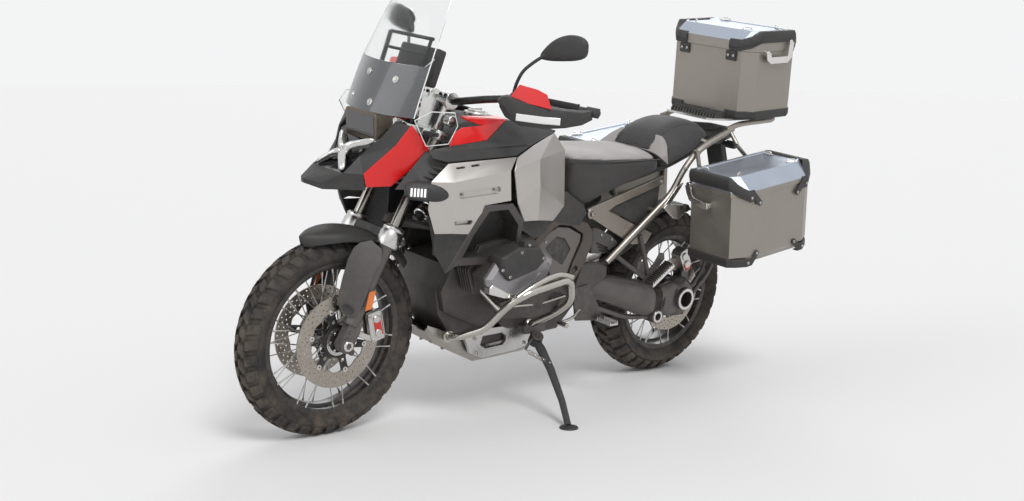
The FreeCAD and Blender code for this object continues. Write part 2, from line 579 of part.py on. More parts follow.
caliper_bracket = face_of([REAR_AXLE + Vector(-23, 104, 58), REAR_AXLE + Vector(-113, 104, 78),
                           REAR_AXLE + Vector(-103, 104, 118), REAR_AXLE + Vector(-33, 104, 148),
                           REAR_AXLE + Vector(7, 104, 78)]).extrude(Y_AXIS * 12)
swingarm = swingarm.fuse([stub_axle, axle_nut, caliper_bracket.cut(rear_disc_room)])
stub_hole = cylinder(REAR_AXLE - Y_AXIS * 120, REAR_AXLE + Y_AXIS * 220, STUB_BORE_R)
swingarm = swingarm.cut(stub_hole)
keep("swingarm", swingarm)
keep("rear_caliper", less(rear_caliper, nodes["swingarm"]))
rear_strut = cylinder(Vector(-300, 30, 458), Vector(-300, 30, 655), 32.0)
keep("rear_strut", less(rear_strut, nodes["swingarm"] + nodes["main_frame"]
                        + nodes["engine_block"]))

# ---------------------------------------------------------------- rear frame and rack
triangle_outline = [(-196, 715), (-208, 690), (-236, 684), (-470, 560), (-520, 560), (-545, 600),
                    (-300, 712), (-575, 786), (-570, 815), (-222, 728)]
triangle = plate(triangle_outline, 148, 162)
top_rail = tube([(-150, 118, 742), (-330, 128, 790), (-620, 128, 862), (-905, 120, 952)], 26.0)
strut_rail = tube([(-392, 174, 560), (-505, 176, 690), (-612, 180, 828), (-690, 182, 902),
                   (-800, 180, 945), (-915, 160, 978)], RAIL_TUBE_D)
rail_foot = cylinder(Vector(-392, 150, 566), Vector(-392, 176, 566), 13.0)
rail_joint = cylinder(Vector(-560, 120, 812), Vector(-600, 176, 812), 12.0)
tail_cross = cylinder(Vector(-890, -122, 947), Vector(-890, 122, 947), 13.0)
front_cross = cylinder(Vector(-160, -150, 730), Vector(-160, 150, 730), 13.0)
rear_half = top_rail.fuse([strut_rail, rail_foot, rail_joint, triangle])
frame_parts = rear_half.fuse([flip(rear_half), tail_cross, front_cross])
keep("rear_subframe", less(frame_parts, nodes["main_frame"] + nodes["engine_block"]))

rack_slope = math.tan(math.radians(TOP_CASE_TILT))


def rack_top(x):
    """Height of the rack's top at x, just under the floor of the top case."""
    return TOP_CASE_FRONT[1] - BEARING_GAP - rack_slope * (x - TOP_CASE_FRONT[0])


rack_plate = plate([(x, rack_top(x) - drop) for x, drop in
                    [(-840, 11), (-840, 0), (-1190, 0), (-1190, 11)]], -140, 140)
rack_rail = tube([(-880, 168, 975), (-950, 168, 996), (-1195, 150, 1010), (-1225, 60, 1012),
                  (-1225, 0, 1012)], RAIL_TUBE_D)
rack_post = cylinder(Vector(-890, 110, 950), Vector(-890, 110, 1008), 10.0)
rack = rack_plate.fuse(both(rack_rail) + both(rack_post))
keep("luggage_rack", less(rack, nodes["rear_subframe"]))

tail_body = loft([across(-815, [(110, 900), (128, 935), (100, 960)]),
                  across(-960, [(78, 905), (92, 935), (70, 965)]),
                  across(-1040, [(60, 925), (66, 938), (50, 955)])])
plate_arm = plate([(-955, 905), (-1010, 925), (-1175, 690), (-1160, 640), (-1140, 690)], -26, 26)
plate_board = face_of([Vector(-1178, -95, 730), Vector(-1178, 95, 730), Vector(-1148, 95, 560),
                       Vector(-1148, -95, 560)]).extrude(Vector(5, 0, 1))
tail_light = Part.makeBox(22, 120, 34, Vector(-1060, -60, 922))
hugger_section = [(332, -62), (346, -40), (352, 0), (346, 40), (332, 62), (329, 62),
                  (342, 39), (348, 0), (342, -39), (329, -62)]
hugger = turned(hugger_section, REAR_AXLE, 78.0, 30.0)
hugger_tab = turned([(337, 56), (347, 56), (347, 99), (337, 99)], REAR_AXLE, 9.0, 33.0)
hugger_arm = plate([(REAR_AXLE.x + dx, REAR_AXLE.z + dz) for dx, dz in
                    [(222, 58), (287, 63), (283, 198), (257, 216)]], 92, 99)
mudguard = [tail_body.fuse([plate_arm, plate_board, tail_light])]
mudguard = [less(one, nodes["rear_subframe"] + nodes["luggage_rack"]) for one in mudguard]
keep("tail", mudguard)
hugger = less(hugger.fuse([hugger_tab, hugger_arm]), nodes["swingarm"] + nodes["rear_caliper"])
keep("rear_mudguard", hugger)

# ---------------------------------------------------------------- tank and panels
well = cylinder(steer_point(690), steer_point(1050), WELL_R)
well = well.fuse(cylinder(steer_point(1050), steer_point(1200), WELL_R + 8))
silver_front = panel([(531, 262, 933), (590, 262, 880), (593, 266, 774), (566, 268, 712),
                      (446, 284, 706), (385, 296, 800), (290, 298, 808), (298, 298, 909),
                      (268, 282, 946)], TANK_PANEL_T)
silver_rear = panel([(262, 280, 948), (180, 252, 978), (26, 190, 1001), (-34, 188, 940),
                     (-40, 200, 754), (13, 210, 700), (178, 250, 716), (250, 290, 790),
                     (290, 296, 906)], TANK_PANEL_T)
keep("silver_panels", both(silver_front) + both(silver_rear))

shroud = panel([(566, 262, 716), (446, 276, 708), (372, 286, 802), (270, 286, 812),
                (200, 250, 712), (250, 244, 690), (390, 240, 664), (440, 236, 572),
                (500, 244, 600)], 10.0)
trim_strip = panel([(531, 250, 942), (268, 266, 954), (60, 200, 1000), (120, 196, 1020),
                    (280, 214, 1000), (480, 196, 968)], 40.0)
shroud_bracket = plate([(300, 742), (420, 742), (420, 780), (300, 780)], 150, 276)
shroud = less(shroud, nodes["cylinders"] + nodes["silver_panels"])
trim_strip = less(trim_strip, nodes["silver_panels"])
keep("side_shrouds", both(shroud) + both(trim_strip))

red_tank = panel([(470, 190, 972), (262, 212, 1000), (160, 200, 1022), (190, 130, 1052),
                  (300, 120, 1046), (440, 140, 1004)], 24.0)
red_nose = panel([(742, 112, 886), (717, 108, 836), (664, 128, 846), (550, 192, 950),
                  (606, 182, 1036)], 8.0)
red_tank = less(red_tank, nodes["side_shrouds"] + [well])
keep("red_panels", both(red_nose) + both(red_tank))

tank = loft([across(440, [(120, 800), (196, 850), (180, 950), (110, 990)]),
             across(330, [(150, 740), (220, 830), (205, 960), (120, 1035)]),
             across(160, [(150, 720), (220, 820), (205, 975), (120, 1050)]),
             across(20, [(120, 720), (185, 800), (175, 950), (110, 1010)]),
             across(-62, [(100, 765), (150, 800), (150, 900), (90, 945)])])
for x0, y0, z0 in [(300, 190, 820), (70, 150, 800), (440, 150, 850)]:
    tank = tank.fuse(both(Part.makeBox(50, 110, 30, Vector(x0, y0, z0))))
tank = less(tank, [well] + nodes["main_frame"] + nodes["rear_subframe"] + nodes["front_strut"]
            + nodes["engine_block"] + nodes["cylinders"] + nodes["silver_panels"]
            + nodes["side_shrouds"] + nodes["red_panels"])
keep("fuel_tank", max(tank.Solids, key=lambda s: s.Volume))

# ---------------------------------------------------------------- nose, lamps and screen
nose = loft([across(904, [(10, 846), (16, 851), (16, 853), (10, 858)]),
             across(800, [(66, 828), (92, 848), (90, 856), (66, 892)]),
             across(700, [(96, 826), (112, 856), (112, 900), (96, 985)]),
             across(600, [(110, 836), (150, 880), (160, 960), (120, 1030)]),
             across(520, [(110, 830), (182, 880), (184, 960), (140, 1030)]),
             across(440, [(120, 800), (196, 850), (180, 950), (110, 990)])])
nose = nose.cut(well)
lamp_front = [(812, 56, 884), (792, 66, 884), (700, 104, 986), (716, 100, 1000)]
nose = max(nose.Solids, key=lambda s: s.Volume)
keep("nose", less(nose, nodes["red_panels"] + nodes["fuel_tank"] + nodes["side_shrouds"]))


def lamp_bar(upper, lower, width):
    """One arm of the headlight, a bar of square section between two points."""
    along = (lower - upper).normalize()
    side = along.cross(X_AXIS).normalize() * (width / 2.0)
    out = along.cross(side).normalize() * (width / 2.0)
    corners = [upper + side + out, upper + side - out, upper - side - out, upper - side + out]
    return face_of(corners).extrude(lower - upper)


lamp_arms = []
for y_side in (-1, 1):
    lamp_arms.append(lamp_bar(Vector(680, 98 * y_side, 984), Vector(744, 0, 932), 28))
    lamp_arms.append(lamp_bar(Vector(744, 0, 932), Vector(802, 74 * y_side, 884), 26))
lamp_core = Part.makeBox(40, 62, 50, Vector(722, -31, 906))
headlight = lamp_core.fuse(lamp_arms)
keep("headlight", less(headlight, nodes["nose"]))

aux_box = Part.makeBox(56, 66, 44, Vector(560, 196, 822))
aux_bracket = Part.makeBox(20, 60, 14, Vector(560, 150, 838))
keep("auxiliary_lamps", both(less(aux_box.fuse(aux_bracket), nodes["nose"] + nodes["silver_panels"]
                                  + [well])))


def screen_arc(x_edge, x_middle, half, z):
    """A level cross section of the screen: a bowed strip of its thickness."""
    thick = Vector(-SCREEN_T, 0, 0)
    a = Vector(x_edge, -half, z)
    b = Vector(x_middle, 0, z)
    c = Vector(x_edge, half, z)
    front = Part.Arc(a, b, c).toShape()
    back = Part.Arc(c + thick, b + thick, a + thick).toShape()
    side_a = Part.LineSegment(c, c + thick).toShape()
    side_b = Part.LineSegment(a + thick, a).toShape()
    return Part.Wire([front, side_a, back, side_b])


screen = Part.makeLoft([screen_arc(618, 690, 184, 1064), screen_arc(566, 624, 178, 1220),
                        screen_arc(478, 526, 148, 1420), screen_arc(440, 476, 96, 1500)],
                       True, False)
deflector = panel([(610, 204, 1060), (560, 232, 1075), (450, 244, 1064), (440, 222, 1010),
                   (470, 206, 985), (560, 196, 990)], 4.0)
deflector_pin = cylinder(Vector(548, 130, 1016), Vector(548, 214, 1016), 7.0)
deflector = less(deflector.fuse(deflector_pin), nodes["nose"] + nodes["red_panels"])
keep("windscreen", [screen] + both(deflector))

screen_plate = Part.makeBox(8, 216, 150, Vector(508, -108, 1130))
display_block = Part.makeBox(44, 60, 50, Vector(468, -30, 1170))
radar_stay = Part.makeBox(14, 220, 14, Vector(588, -110, 1044))
radar = plate([(604, 1006), (682, 970), (694, 1064), (610, 1080)], -84, 84)
display = Part.makeBox(24, 200, 116, Vector(466, -100, 1150))
display.rotate(Vector(478, 0, 1150), Y_AXIS, -18)
screen_arm = plate([(560, 1030), (600, 1030), (522, 1312), (494, 1312)], 106, 114)
arm_cross_bar = cylinder(Vector(508, -112, 1300), Vector(508, 112, 1300), GADGET_BAR_R)
screen_bracket = screen_plate.fuse([radar, display, display_block, radar_stay, arm_cross_bar]
                                   + both(screen_arm))
keep("screen_bracket", less(screen_bracket, nodes["nose"] + nodes["windscreen"]
                            + nodes["red_panels"] + nodes["headlight"] + [well]))

# ---------------------------------------------------------------- seats
rider_seat = loft([across(-66, [(118, 806), (162, 906), (118, 920)]),
                   across(-172, [(140, 732), (174, 895), (128, 911)]),
                   across(-350, [(145, 780), (176, 886), (132, 902)]),
                   across(-540, [(146, 842), (166, 880), (124, 896)])])
passenger_seat = loft([across(-536, [(158, 842), (168, 888), (62, 962)]),
                       across(-566, [(158, 846), (170, 900), (98, 978)]),
                       across(-690, [(148, 884), (162, 930), (118, 992)]),
                       across(-790, [(126, 942), (142, 958), (104, 992)]),
                       across(-872, [(108, 966), (116, 972), (84, 980)])])
seat_under = nodes["rear_subframe"] + nodes["main_frame"] + nodes["tail"]
rider_seat = less(rider_seat, nodes["fuel_tank"] + seat_under)
keep("rider_seat", max(rider_seat.Solids, key=lambda s: s.Volume))
passenger_seat = less(passenger_seat, seat_under + nodes["rider_seat"])
keep("passenger_seat", max(passenger_seat.Solids, key=lambda s: s.Volume))

side_cover = panel([(-30, 190, 740), (-70, 176, 790), (-165, 170, 730), (-190, 168, 700),
                    (-160, 168, 660), (-20, 172, 690)], 14.0)
keep("side_covers", both(less(side_cover, nodes["rear_subframe"] + nodes["silver_panels"]
                              + nodes["rider_seat"] + nodes["main_frame"])))

# ---------------------------------------------------------------- radiators, bars, skid plate
radiator = Part.makeBox(34, 110, 190, Vector(430, 130, 600))
radiator.rotate(Vector(430, 130, 600), Z_AXIS, -12)
keep("radiators", both(less(radiator, [well] + nodes["fuel_tank"] + nodes["side_shrouds"]
                            + nodes["front_arm"] + nodes["cylinders"])))

crash_points = [(366, 126, 312), (362, 170, 318), (305, 240, 356), (286, 292, 418),
                (281, 338, 486), (219, 356, 511), (36, 352, 529), (0, 326, 440), (44, 250, 366),
                (30, 160, 320)]
crash_bar = tube(crash_points, CRASH_TUBE_D, 45)
crash_strut = cylinder(Vector(333, 152, 540), Vector(276, 262, 430), 11.0)
keep("crash_bars", both(less(crash_bar.fuse(crash_strut), nodes["engine_block"]
                             + nodes["cylinders"] + nodes["cylinder_guards"])))


def skid_section(x, half, low):
    """The turned-up cross section of the skid plate at x."""
    return [Vector(x, y, z) for y, z in
            [(-half - 14, low + 40), (-half, low), (half, low), (half + 14, low + 40),
             (half + 9, low + 40), (half - 4, low + 5), (-half + 4, low + 5),
             (-half - 9, low + 40)]]


skid = loft([skid_section(-20, 100, 196), skid_section(215, 104, 188), skid_section(380, 96, 274),
             skid_section(420, 84, 316)])
keep("skid_plate", less(skid, nodes["engine_block"] + nodes["crash_bars"]))

# ---------------------------------------------------------------- exhaust
muffler = loft([[Vector(-350, -130, 290), Vector(-350, -220, 290), Vector(-350, -235, 330),
                 Vector(-350, -220, 372), Vector(-350, -130, 372)],
                [Vector(-800, -130, 375), Vector(-800, -228, 375), Vector(-800, -244, 420),
                 Vector(-800, -228, 470), Vector(-800, -130, 470)]])
header = tube([(330, -262, 470), (330, -240, 420), (250, -196, 330), (20, -190, 300),
               (-200, -185, 300), (-352, -178, 332)], 40.0, 60)
exhaust = muffler.fuse(header)
keep("exhaust", less(exhaust, nodes["engine_block"] + nodes["cylinders"] + nodes["crash_bars"]
                     + nodes["main_frame"] + nodes["skid_plate"]))

# ---------------------------------------------------------------- footrests and levers
peg_plate = plate([(-150, 430), (-230, 440), (-305, 330), (-280, 300), (-180, 310)],
                  ENGINE_HALF + 15.3, ENGINE_HALF + 24)
peg = Part.makeBox(40, 96, 20, Vector(-306, 174, 302))
rear_bracket = plate([(-372, 545), (-400, 550), (-505, 450), (-485, 590), (-510, 600),
                      (-530, 440), (-505, 425)], 162, 170)
rear_peg = cylinder(Vector(-512, 168, 436), Vector(-512, 220, 436), 9.0)
folded_peg = Part.makeBox(104, 34, 20, Vector(0, 205, -10))
folded_peg.rotate(Vector(0, 0, 0), Y_AXIS, 225)
folded_peg.translate(Vector(-512, 0, 436))
gear_lever = tube([(-200, 168, 352), (-150, 190, 330), (-80, 196, 322), (-74, 240, 324)], 11.0, 20)
footrests = peg_plate.fuse([peg, rear_bracket, rear_peg, folded_peg])
foot_solids = both(footrests) + both(gear_lever)
keep("footrests", [less(one, nodes["rear_subframe"] + nodes["exhaust"] + nodes["main_frame"]
                        + nodes["crash_bars"] + nodes["swingarm"])
                   for one in both(footrests.fuse(gear_lever))])

# ---------------------------------------------------------------- luggage
def box_case(length, y0, y1, height, corner, tilt):
    """An open-topped case whose lower front corner is given, tilted about that corner."""
    outer = Part.makeBox(length, y1 - y0, height, Vector(-length, y0, 0))
    outer = outer.makeFillet(22.0, [e for e in outer.Edges if abs(e.tangentAt(e.FirstParameter).z)
                                    > 0.9])
    inner = Part.makeBox(length - 2 * CASE_WALL, y1 - y0 - 2 * CASE_WALL, height,
                         Vector(-length + CASE_WALL, y0 + CASE_WALL, CASE_WALL))
    inner = inner.makeFillet(20.0, [e for e in inner.Edges
                                    if abs(e.tangentAt(e.FirstParameter).z) > 0.9])
    return set_down(outer.cut(inner), corner, tilt)


def slope_cut(edge, top, axis, depth):
    """A long wedge that slopes a lid's border, from its edge point to its top point."""
    run = top - edge
    far = edge - run * 0.5
    high = top + run * 0.5
    apex = far + Vector(0, 0, 1) * (high - far).z
    wedge = face_of([far - axis * depth, high - axis * depth, apex - axis * depth])
    return wedge.extrude(axis * (2 * depth))


def case_lid(length, y0, y1, base, height, corner, tilt, overlap, slopes):
    """A lid like a tray upside down, wider than its case by the overlap all round.

    Each slope is the edge point, the top point and the direction of one sloping border."""
    outer = Part.makeBox(length + 2 * overlap, y1 - y0 + 2 * overlap, height,
                         Vector(-length - overlap, y0 - overlap, base))
    upright = [e for e in outer.Edges if abs(e.tangentAt(e.FirstParameter).z) > 0.9]
    outer = outer.makeFillet(26.0, upright)
    inner = Part.makeBox(length + 2 * overlap - 8, y1 - y0 + 2 * overlap - 8, height - 4,
                         Vector(-length - overlap + 4, y0 - overlap + 4, base))
    inner = inner.makeFillet(22.0, [e for e in inner.Edges
                                    if abs(e.tangentAt(e.FirstParameter).z) > 0.9])
    for edge, top, axis in slopes:
        inward = Vector(top.x - edge.x, top.y - edge.y, 0).normalize()
        wall = inward * 3 - Vector(0, 0, 3)
        outer = outer.cut(slope_cut(edge, top, axis, length))
        inner = inner.cut(slope_cut(edge + wall, top + wall, axis, length))
    return set_down(outer.cut(inner), corner, tilt)


def set_down(shape, corner, tilt):
    """Tilt a case about Y, its rear end up, and put its corner in place."""
    shape.rotate(Vector(0, 0, 0), Y_AXIS, tilt)
    shape.translate(Vector(corner[0], 0, corner[1]))
    return shape


left_case = box_case(CASE_LENGTH, CASE_INNER_Y, CASE_OUTER_Y, CASE_HEIGHT, CASE_FRONT, CASE_TILT)
lid_floor = CASE_HEIGHT + LID_GAP
side_slope = (Vector(0, CASE_OUTER_Y + LID_LAP, lid_floor + LID_EDGE_H),
              Vector(0, CASE_OUTER_Y + LID_LAP - LID_SLOPE, lid_floor + LID_H), X_AXIS)
left_lid = case_lid(CASE_LENGTH, CASE_INNER_Y, CASE_OUTER_Y, lid_floor, LID_H,
                    CASE_FRONT, CASE_TILT, LID_LAP, [side_slope])
top_case = box_case(TOP_CASE_LENGTH, -TOP_CASE_HALF, TOP_CASE_HALF, TOP_CASE_HEIGHT,
                    TOP_CASE_FRONT, TOP_CASE_TILT)
lid_floor = TOP_CASE_HEIGHT + LID_GAP
front_slope = (Vector(LID_LAP, 0, lid_floor + TOP_LID_EDGE_H),
               Vector(LID_LAP - LID_SLOPE, 0, lid_floor + TOP_LID_H), Y_AXIS)
rear_slope = (Vector(-TOP_CASE_LENGTH - LID_LAP, 0, lid_floor + TOP_LID_EDGE_H),
              Vector(-TOP_CASE_LENGTH - LID_LAP + LID_SLOPE, 0, lid_floor + TOP_LID_H), Y_AXIS)
top_lid = case_lid(TOP_CASE_LENGTH, -TOP_CASE_HALF, TOP_CASE_HALF, lid_floor, TOP_LID_H,
                   TOP_CASE_FRONT, TOP_CASE_TILT, LID_LAP, [front_slope, rear_slope])
carrier_y = CASE_INNER_Y - CARRIER_TUBE_D / 2.0 - BEARING_GAP
carrier_tube = tube([(-690, 204, 905), (-702, 226, 806), (-714, carrier_y, 745),
                     (-740, carrier_y, 640), (-1010, carrier_y, 672), (-1012, carrier_y, 780),
                     (-1004, 226, 838), (-905, 204, 925)],
                    CARRIER_TUBE_D, 40)
carrier_stay = cylinder(Vector(-700, 182, 903), Vector(-694, 210, 903), 8.0)
carrier_rear = cylinder(Vector(-900, 166, 974), Vector(-906, 206, 926), 8.0)
carrier = carrier_tube.fuse([carrier_stay, carrier_rear])
keep("case_carriers", both(less(carrier, nodes["rear_subframe"] + nodes["luggage_rack"])))
keep("left_case", left_case)
keep("right_case", flip(left_case))
keep("top_case", less(top_case, nodes["luggage_rack"]))
keep("left_lid", left_lid)
keep("right_lid", flip(left_lid))
keep("top_lid", top_lid)

# ---------------------------------------------------------------- side stand
floor_up = TO_UPRIGHT.Rotation.multVec(Z_AXIS)
floor_at = TO_UPRIGHT.multVec(Vector(0, 0, 0))
foot_x, foot_y = STAND_FOOT
foot_z = floor_at.z - (floor_up.x * (foot_x - floor_at.x)
                       + floor_up.y * (foot_y - floor_at.y)) / floor_up.z
stand_foot = Vector(foot_x, foot_y, foot_z)
pivot = Vector(*STAND_PIVOT)
leg_way = (stand_foot - pivot).normalize()
folded_way = Vector(-0.98, 0.2, -0.02).normalize()
stand_axis = leg_way.cross(folded_way).normalize()
foot_plate = cylinder(stand_foot, stand_foot + floor_up * 9, 32.0)
leg = cylinder(pivot + leg_way * 10, stand_foot + floor_up * 14, 13.0)
leg_eye = ring(pivot - stand_axis * 9, pivot + stand_axis * 9, 24.0, STAND_PIN_R + BEARING_GAP)
leg = leg.cut(cylinder(pivot - stand_axis * 30, pivot + stand_axis * 30, STAND_PIN_R + BEARING_GAP))
for way in (-1, 1):
    leg = leg.cut(cylinder(pivot + stand_axis * (9 * way), pivot + stand_axis * (34 * way), 26.0))
keep("side_stand", leg.cut(cylinder(pivot - stand_axis * 9, pivot + stand_axis * 9, 20)).fuse(
    [leg_eye, foot_plate]))
pin = cylinder(pivot - stand_axis * 22, pivot + stand_axis * 22, STAND_PIN_R)
cheek_a = cylinder(pivot - stand_axis * 22, pivot - stand_axis * 10, 22.0)
cheek_b = cylinder(pivot + stand_axis * 10, pivot + stand_axis * 22, 22.0)
root = Vector(-6, ENGINE_HALF + 0.3, 300)
neck_a = cylinder(pivot - stand_axis * 16, root + Vector(-10, 0, 0), 9.0)
neck_b = cylinder(pivot + stand_axis * 16, root + Vector(20, 0, 30), 9.0)
eye_room = cylinder(pivot - stand_axis * 9.8, pivot + stand_axis * 9.8, 30.0)
stand_lug = cheek_a.fuse([cheek_b, neck_a, neck_b]).cut(eye_room).fuse(pin)
keep("stand_bracket", less(stand_lug, nodes["engine_block"] + nodes["crash_bars"]))

# ---------------------------------------------------------------- park it and write the files
os.makedirs("parts", exist_ok=True)
for name, solids in nodes.items():
    shape = Part.makeCompound(solids) if len(solids) > 1 else solids[0].copy()
    shape.Placement = PARKED.multiply(shape.Placement)
    shape.exportStep(os.path.join("parts", name + ".step"))
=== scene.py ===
"""Adventure motorcycle on its side stand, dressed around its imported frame.

The sizes are millimetres on the upright machine: x forward from halfway between the axles, y to
the rider's left, z up.  PARK turns them into metres on the parked, leaning machine.
"""
from math import copysign, cos, pi, radians, sin, tau

import bmesh
import bpy
from mathutils import Matrix, Vector


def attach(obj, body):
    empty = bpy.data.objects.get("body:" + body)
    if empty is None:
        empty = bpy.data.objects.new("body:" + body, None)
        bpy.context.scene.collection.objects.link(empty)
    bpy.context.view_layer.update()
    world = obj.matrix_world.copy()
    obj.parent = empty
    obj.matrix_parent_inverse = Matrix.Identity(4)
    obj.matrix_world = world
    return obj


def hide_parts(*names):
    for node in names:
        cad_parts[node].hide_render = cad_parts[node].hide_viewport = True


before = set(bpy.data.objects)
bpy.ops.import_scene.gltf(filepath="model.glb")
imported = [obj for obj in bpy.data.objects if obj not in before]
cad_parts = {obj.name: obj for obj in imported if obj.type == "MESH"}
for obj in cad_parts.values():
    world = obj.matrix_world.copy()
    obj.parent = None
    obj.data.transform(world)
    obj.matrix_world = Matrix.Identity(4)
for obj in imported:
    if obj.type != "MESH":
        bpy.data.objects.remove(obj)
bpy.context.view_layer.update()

# ------------------------------------------------------------------ studio
# A pale floor under a pale sky, one broad lamp over the rider's left shoulder and two weaker ones,
# all at a level where a paint shows in the colour it was mixed.
LEAN, PITCH = radians(-6.5), radians(0.006)
PARK = (Matrix.Translation((0.070, -0.108, 0.000466)) @ Matrix.Rotation(PITCH, 4, "Y") @ Matrix.Rotation(LEAN,
    4, "X") @ Matrix.Scale(0.001, 4))
scene = bpy.context.scene
scene.view_settings.view_transform = "Standard"


def aim(place, back, roll=0.0):
    """A matrix for a lamp or camera at a place, facing away from the direction back."""
    back = Vector(back).normalized()
    across = Vector((0, 0, 1)).cross(back).normalized()
    up = back.cross(across)
    right = across * cos(roll) + up * sin(roll)
    turn = Matrix((right, back.cross(right), back)).transposed().to_4x4()
    return Matrix.Translation(place) @ turn


view_from = (radians(48.878), radians(8.535))
back = Vector((cos(view_from[0]) * cos(view_from[1]), sin(view_from[0]) * cos(view_from[1]),
    sin(view_from[1])))
camera = bpy.data.objects.new("camera", bpy.data.cameras.new("camera"))
camera.data.sensor_fit = "HORIZONTAL"
camera.data.sensor_width, camera.data.lens = 36.0, 51.03
camera.data.clip_end = 200.0
camera.matrix_world = aim(Vector((0.01496, -0.108, 0.52911)) + back * 5.2176, back, radians(0.755))
scene.collection.objects.link(camera)
scene.camera = camera

for lamp_name, place, strength, spread in (("key_lamp", (1.2, 3.6, 4.4), 1.55, 24.0), ("front_lamp", (6.0,
        -1.5, 2.6), 0.5, 40.0), ("rear_lamp", (-4.0, -3.5, 3.6), 0.45, 30.0)):
    lamp = bpy.data.objects.new(lamp_name, bpy.data.lights.new(lamp_name, "SUN"))
    lamp.data.energy, lamp.data.angle = strength, radians(spread)
    lamp.matrix_world = aim(Vector(place), Vector(place))
    scene.collection.objects.link(lamp)


def wire(tree, joins):
    """Join nodes: from one and its output, into another and its input."""
    for out, exit_name, into, entry_name in joins:
        tree.links.new(out.outputs[exit_name], into.inputs[entry_name])


def node(tree, kind, **settings):
    """A shader node with its settings; a setting called in_NAME or at_N is an input's value."""
    made = tree.nodes.new("ShaderNode" + kind)
    for key, value in settings.items():
        if key.startswith("in_"):
            made.inputs[key[3:].replace("_", " ")].default_value = value
        elif key.startswith("at_"):
            made.inputs[int(key[3:])].default_value = value
        else:
            setattr(made, key, value)
    return made


def turns(count, shift=0.0):
    """Angles evenly round a circle, the first one shifted by a share of a step."""
    return [tau * (i + shift) / count for i in range(count)]


sky = bpy.data.worlds.new("sky")
scene.world = sky
sky.use_nodes = True
tree = sky.node_tree
tree.nodes.clear()
seen = node(tree, "LightPath")
height = node(tree, "TexCoord")
split = node(tree, "SeparateXYZ")
bands = node(tree, "ValToRGB")
bands.color_ramp.elements[0].position, bands.color_ramp.elements[0].color = 0.46, (0.5, 0.5, 0.5, 1)
bands.color_ramp.elements[1].position, bands.color_ramp.elements[1].color = 0.62, (0.93, 0.94, 0.96, 1)
halve = node(tree, "MapRange", at_1=-1.0, at_2=1.0)
lit = node(tree, "Background", in_Color=(0.94, 0.96, 1.0, 1), in_Strength=0.52)
pale = node(tree, "Background", in_Color=(0.9, 0.905, 0.91, 1), in_Strength=1.0)
mirror_sky = node(tree, "Background", in_Strength=1.0)
shown = node(tree, "Math", operation="MAXIMUM")
mix_mirror = node(tree, "MixShader")
mix_shown = node(tree, "MixShader")
world_out = node(tree, "OutputWorld")
wire(tree, [(height, "Generated", split, 0), (split, "Z", halve, 0), (halve, 0, bands, 0), (bands, 0,
    mirror_sky, "Color"), (seen, "Is Glossy Ray", mix_mirror, 0), (lit, 0, mix_mirror, 1), (mirror_sky, 0,
    mix_mirror, 2), (seen, "Is Camera Ray", shown, 0), (seen, "Is Transmission Ray", shown, 1), (shown, 0,
    mix_shown, 0), (mix_mirror, 0, mix_shown, 1), (pale, 0, mix_shown, 2), (mix_shown, 0, world_out, 0)])

floor_mesh = bpy.data.meshes.new("floor")
floor_mesh.from_pydata([(30 * cos(a), 30 * sin(a), 0.0) for a in turns(64)], [], [range(64)])
floor = bpy.data.objects.new("floor", floor_mesh)
scene.collection.objects.link(floor)
floor_paint = bpy.data.materials.new("floor_paint")
floor_paint.use_nodes = True
floor_paint.node_tree.nodes["Principled BSDF"].inputs["Base Color"].default_value = (0.86, 0.85, 0.84, 1)
floor_paint.node_tree.nodes["Principled BSDF"].inputs["Roughness"].default_value = 0.9
floor_mesh.materials.append(floor_paint)

# ------------------------------------------------------------------ tyres
# Two off-road tyres of black rubber with rows of square-shouldered blocks, bedded on tubeless
# rims.  Dry trail dust lies in the grooves and on the side walls.
FRONT_AXLE, REAR_AXLE = Vector((767, 0, 330)), Vector((-767, 0, 322))
UP, LEFT, AHEAD = Vector((0, 0, 1)), Vector((0, 1, 0)), Vector((1, 0, 0))


def socket(group, name, kind, way, value=None):
    """A named socket of a shader group."""
    made = group.interface.new_socket(name=name, in_out=way, socket_type="NodeSocket" + kind)
    if value is not None:
        made.default_value = value


def shader_group(name, inputs, outputs):
    """An empty shader group with its sockets: name, kind and value of each input."""
    group = bpy.data.node_groups.new(name, "ShaderNodeTree")
    for title, kind, value in inputs:
        socket(group, title, kind, "INPUT", value)
    for title, kind in outputs:
        socket(group, title, kind, "OUTPUT")
    return group, group.nodes.new("NodeGroupInput"), group.nodes.new("NodeGroupOutput")


# fine grain: the small relief of moulded, cast or painted surfaces, and a slow change of shade
grain_group, gin, gout = shader_group("fine_grain", [("Scale", "Float", 900.0), ("Shade Scale", "Float",
    9.0)], [("Relief", "Float"), ("Shade", "Float")])
place = node(grain_group, "TexCoord")
fine = node(grain_group, "TexNoise", in_Detail=3.0, in_Roughness=0.6)
slow = node(grain_group, "TexNoise", in_Detail=5.0, in_Roughness=0.62)
wire(grain_group, [(place, "Object", fine, "Vector"), (place, "Object", slow, "Vector"), (gin, "Scale", fine,
    "Scale"), (gin, "Shade Scale", slow, "Scale"), (fine, "Fac", gout, "Relief"), (slow, "Fac", gout,
    "Shade")])

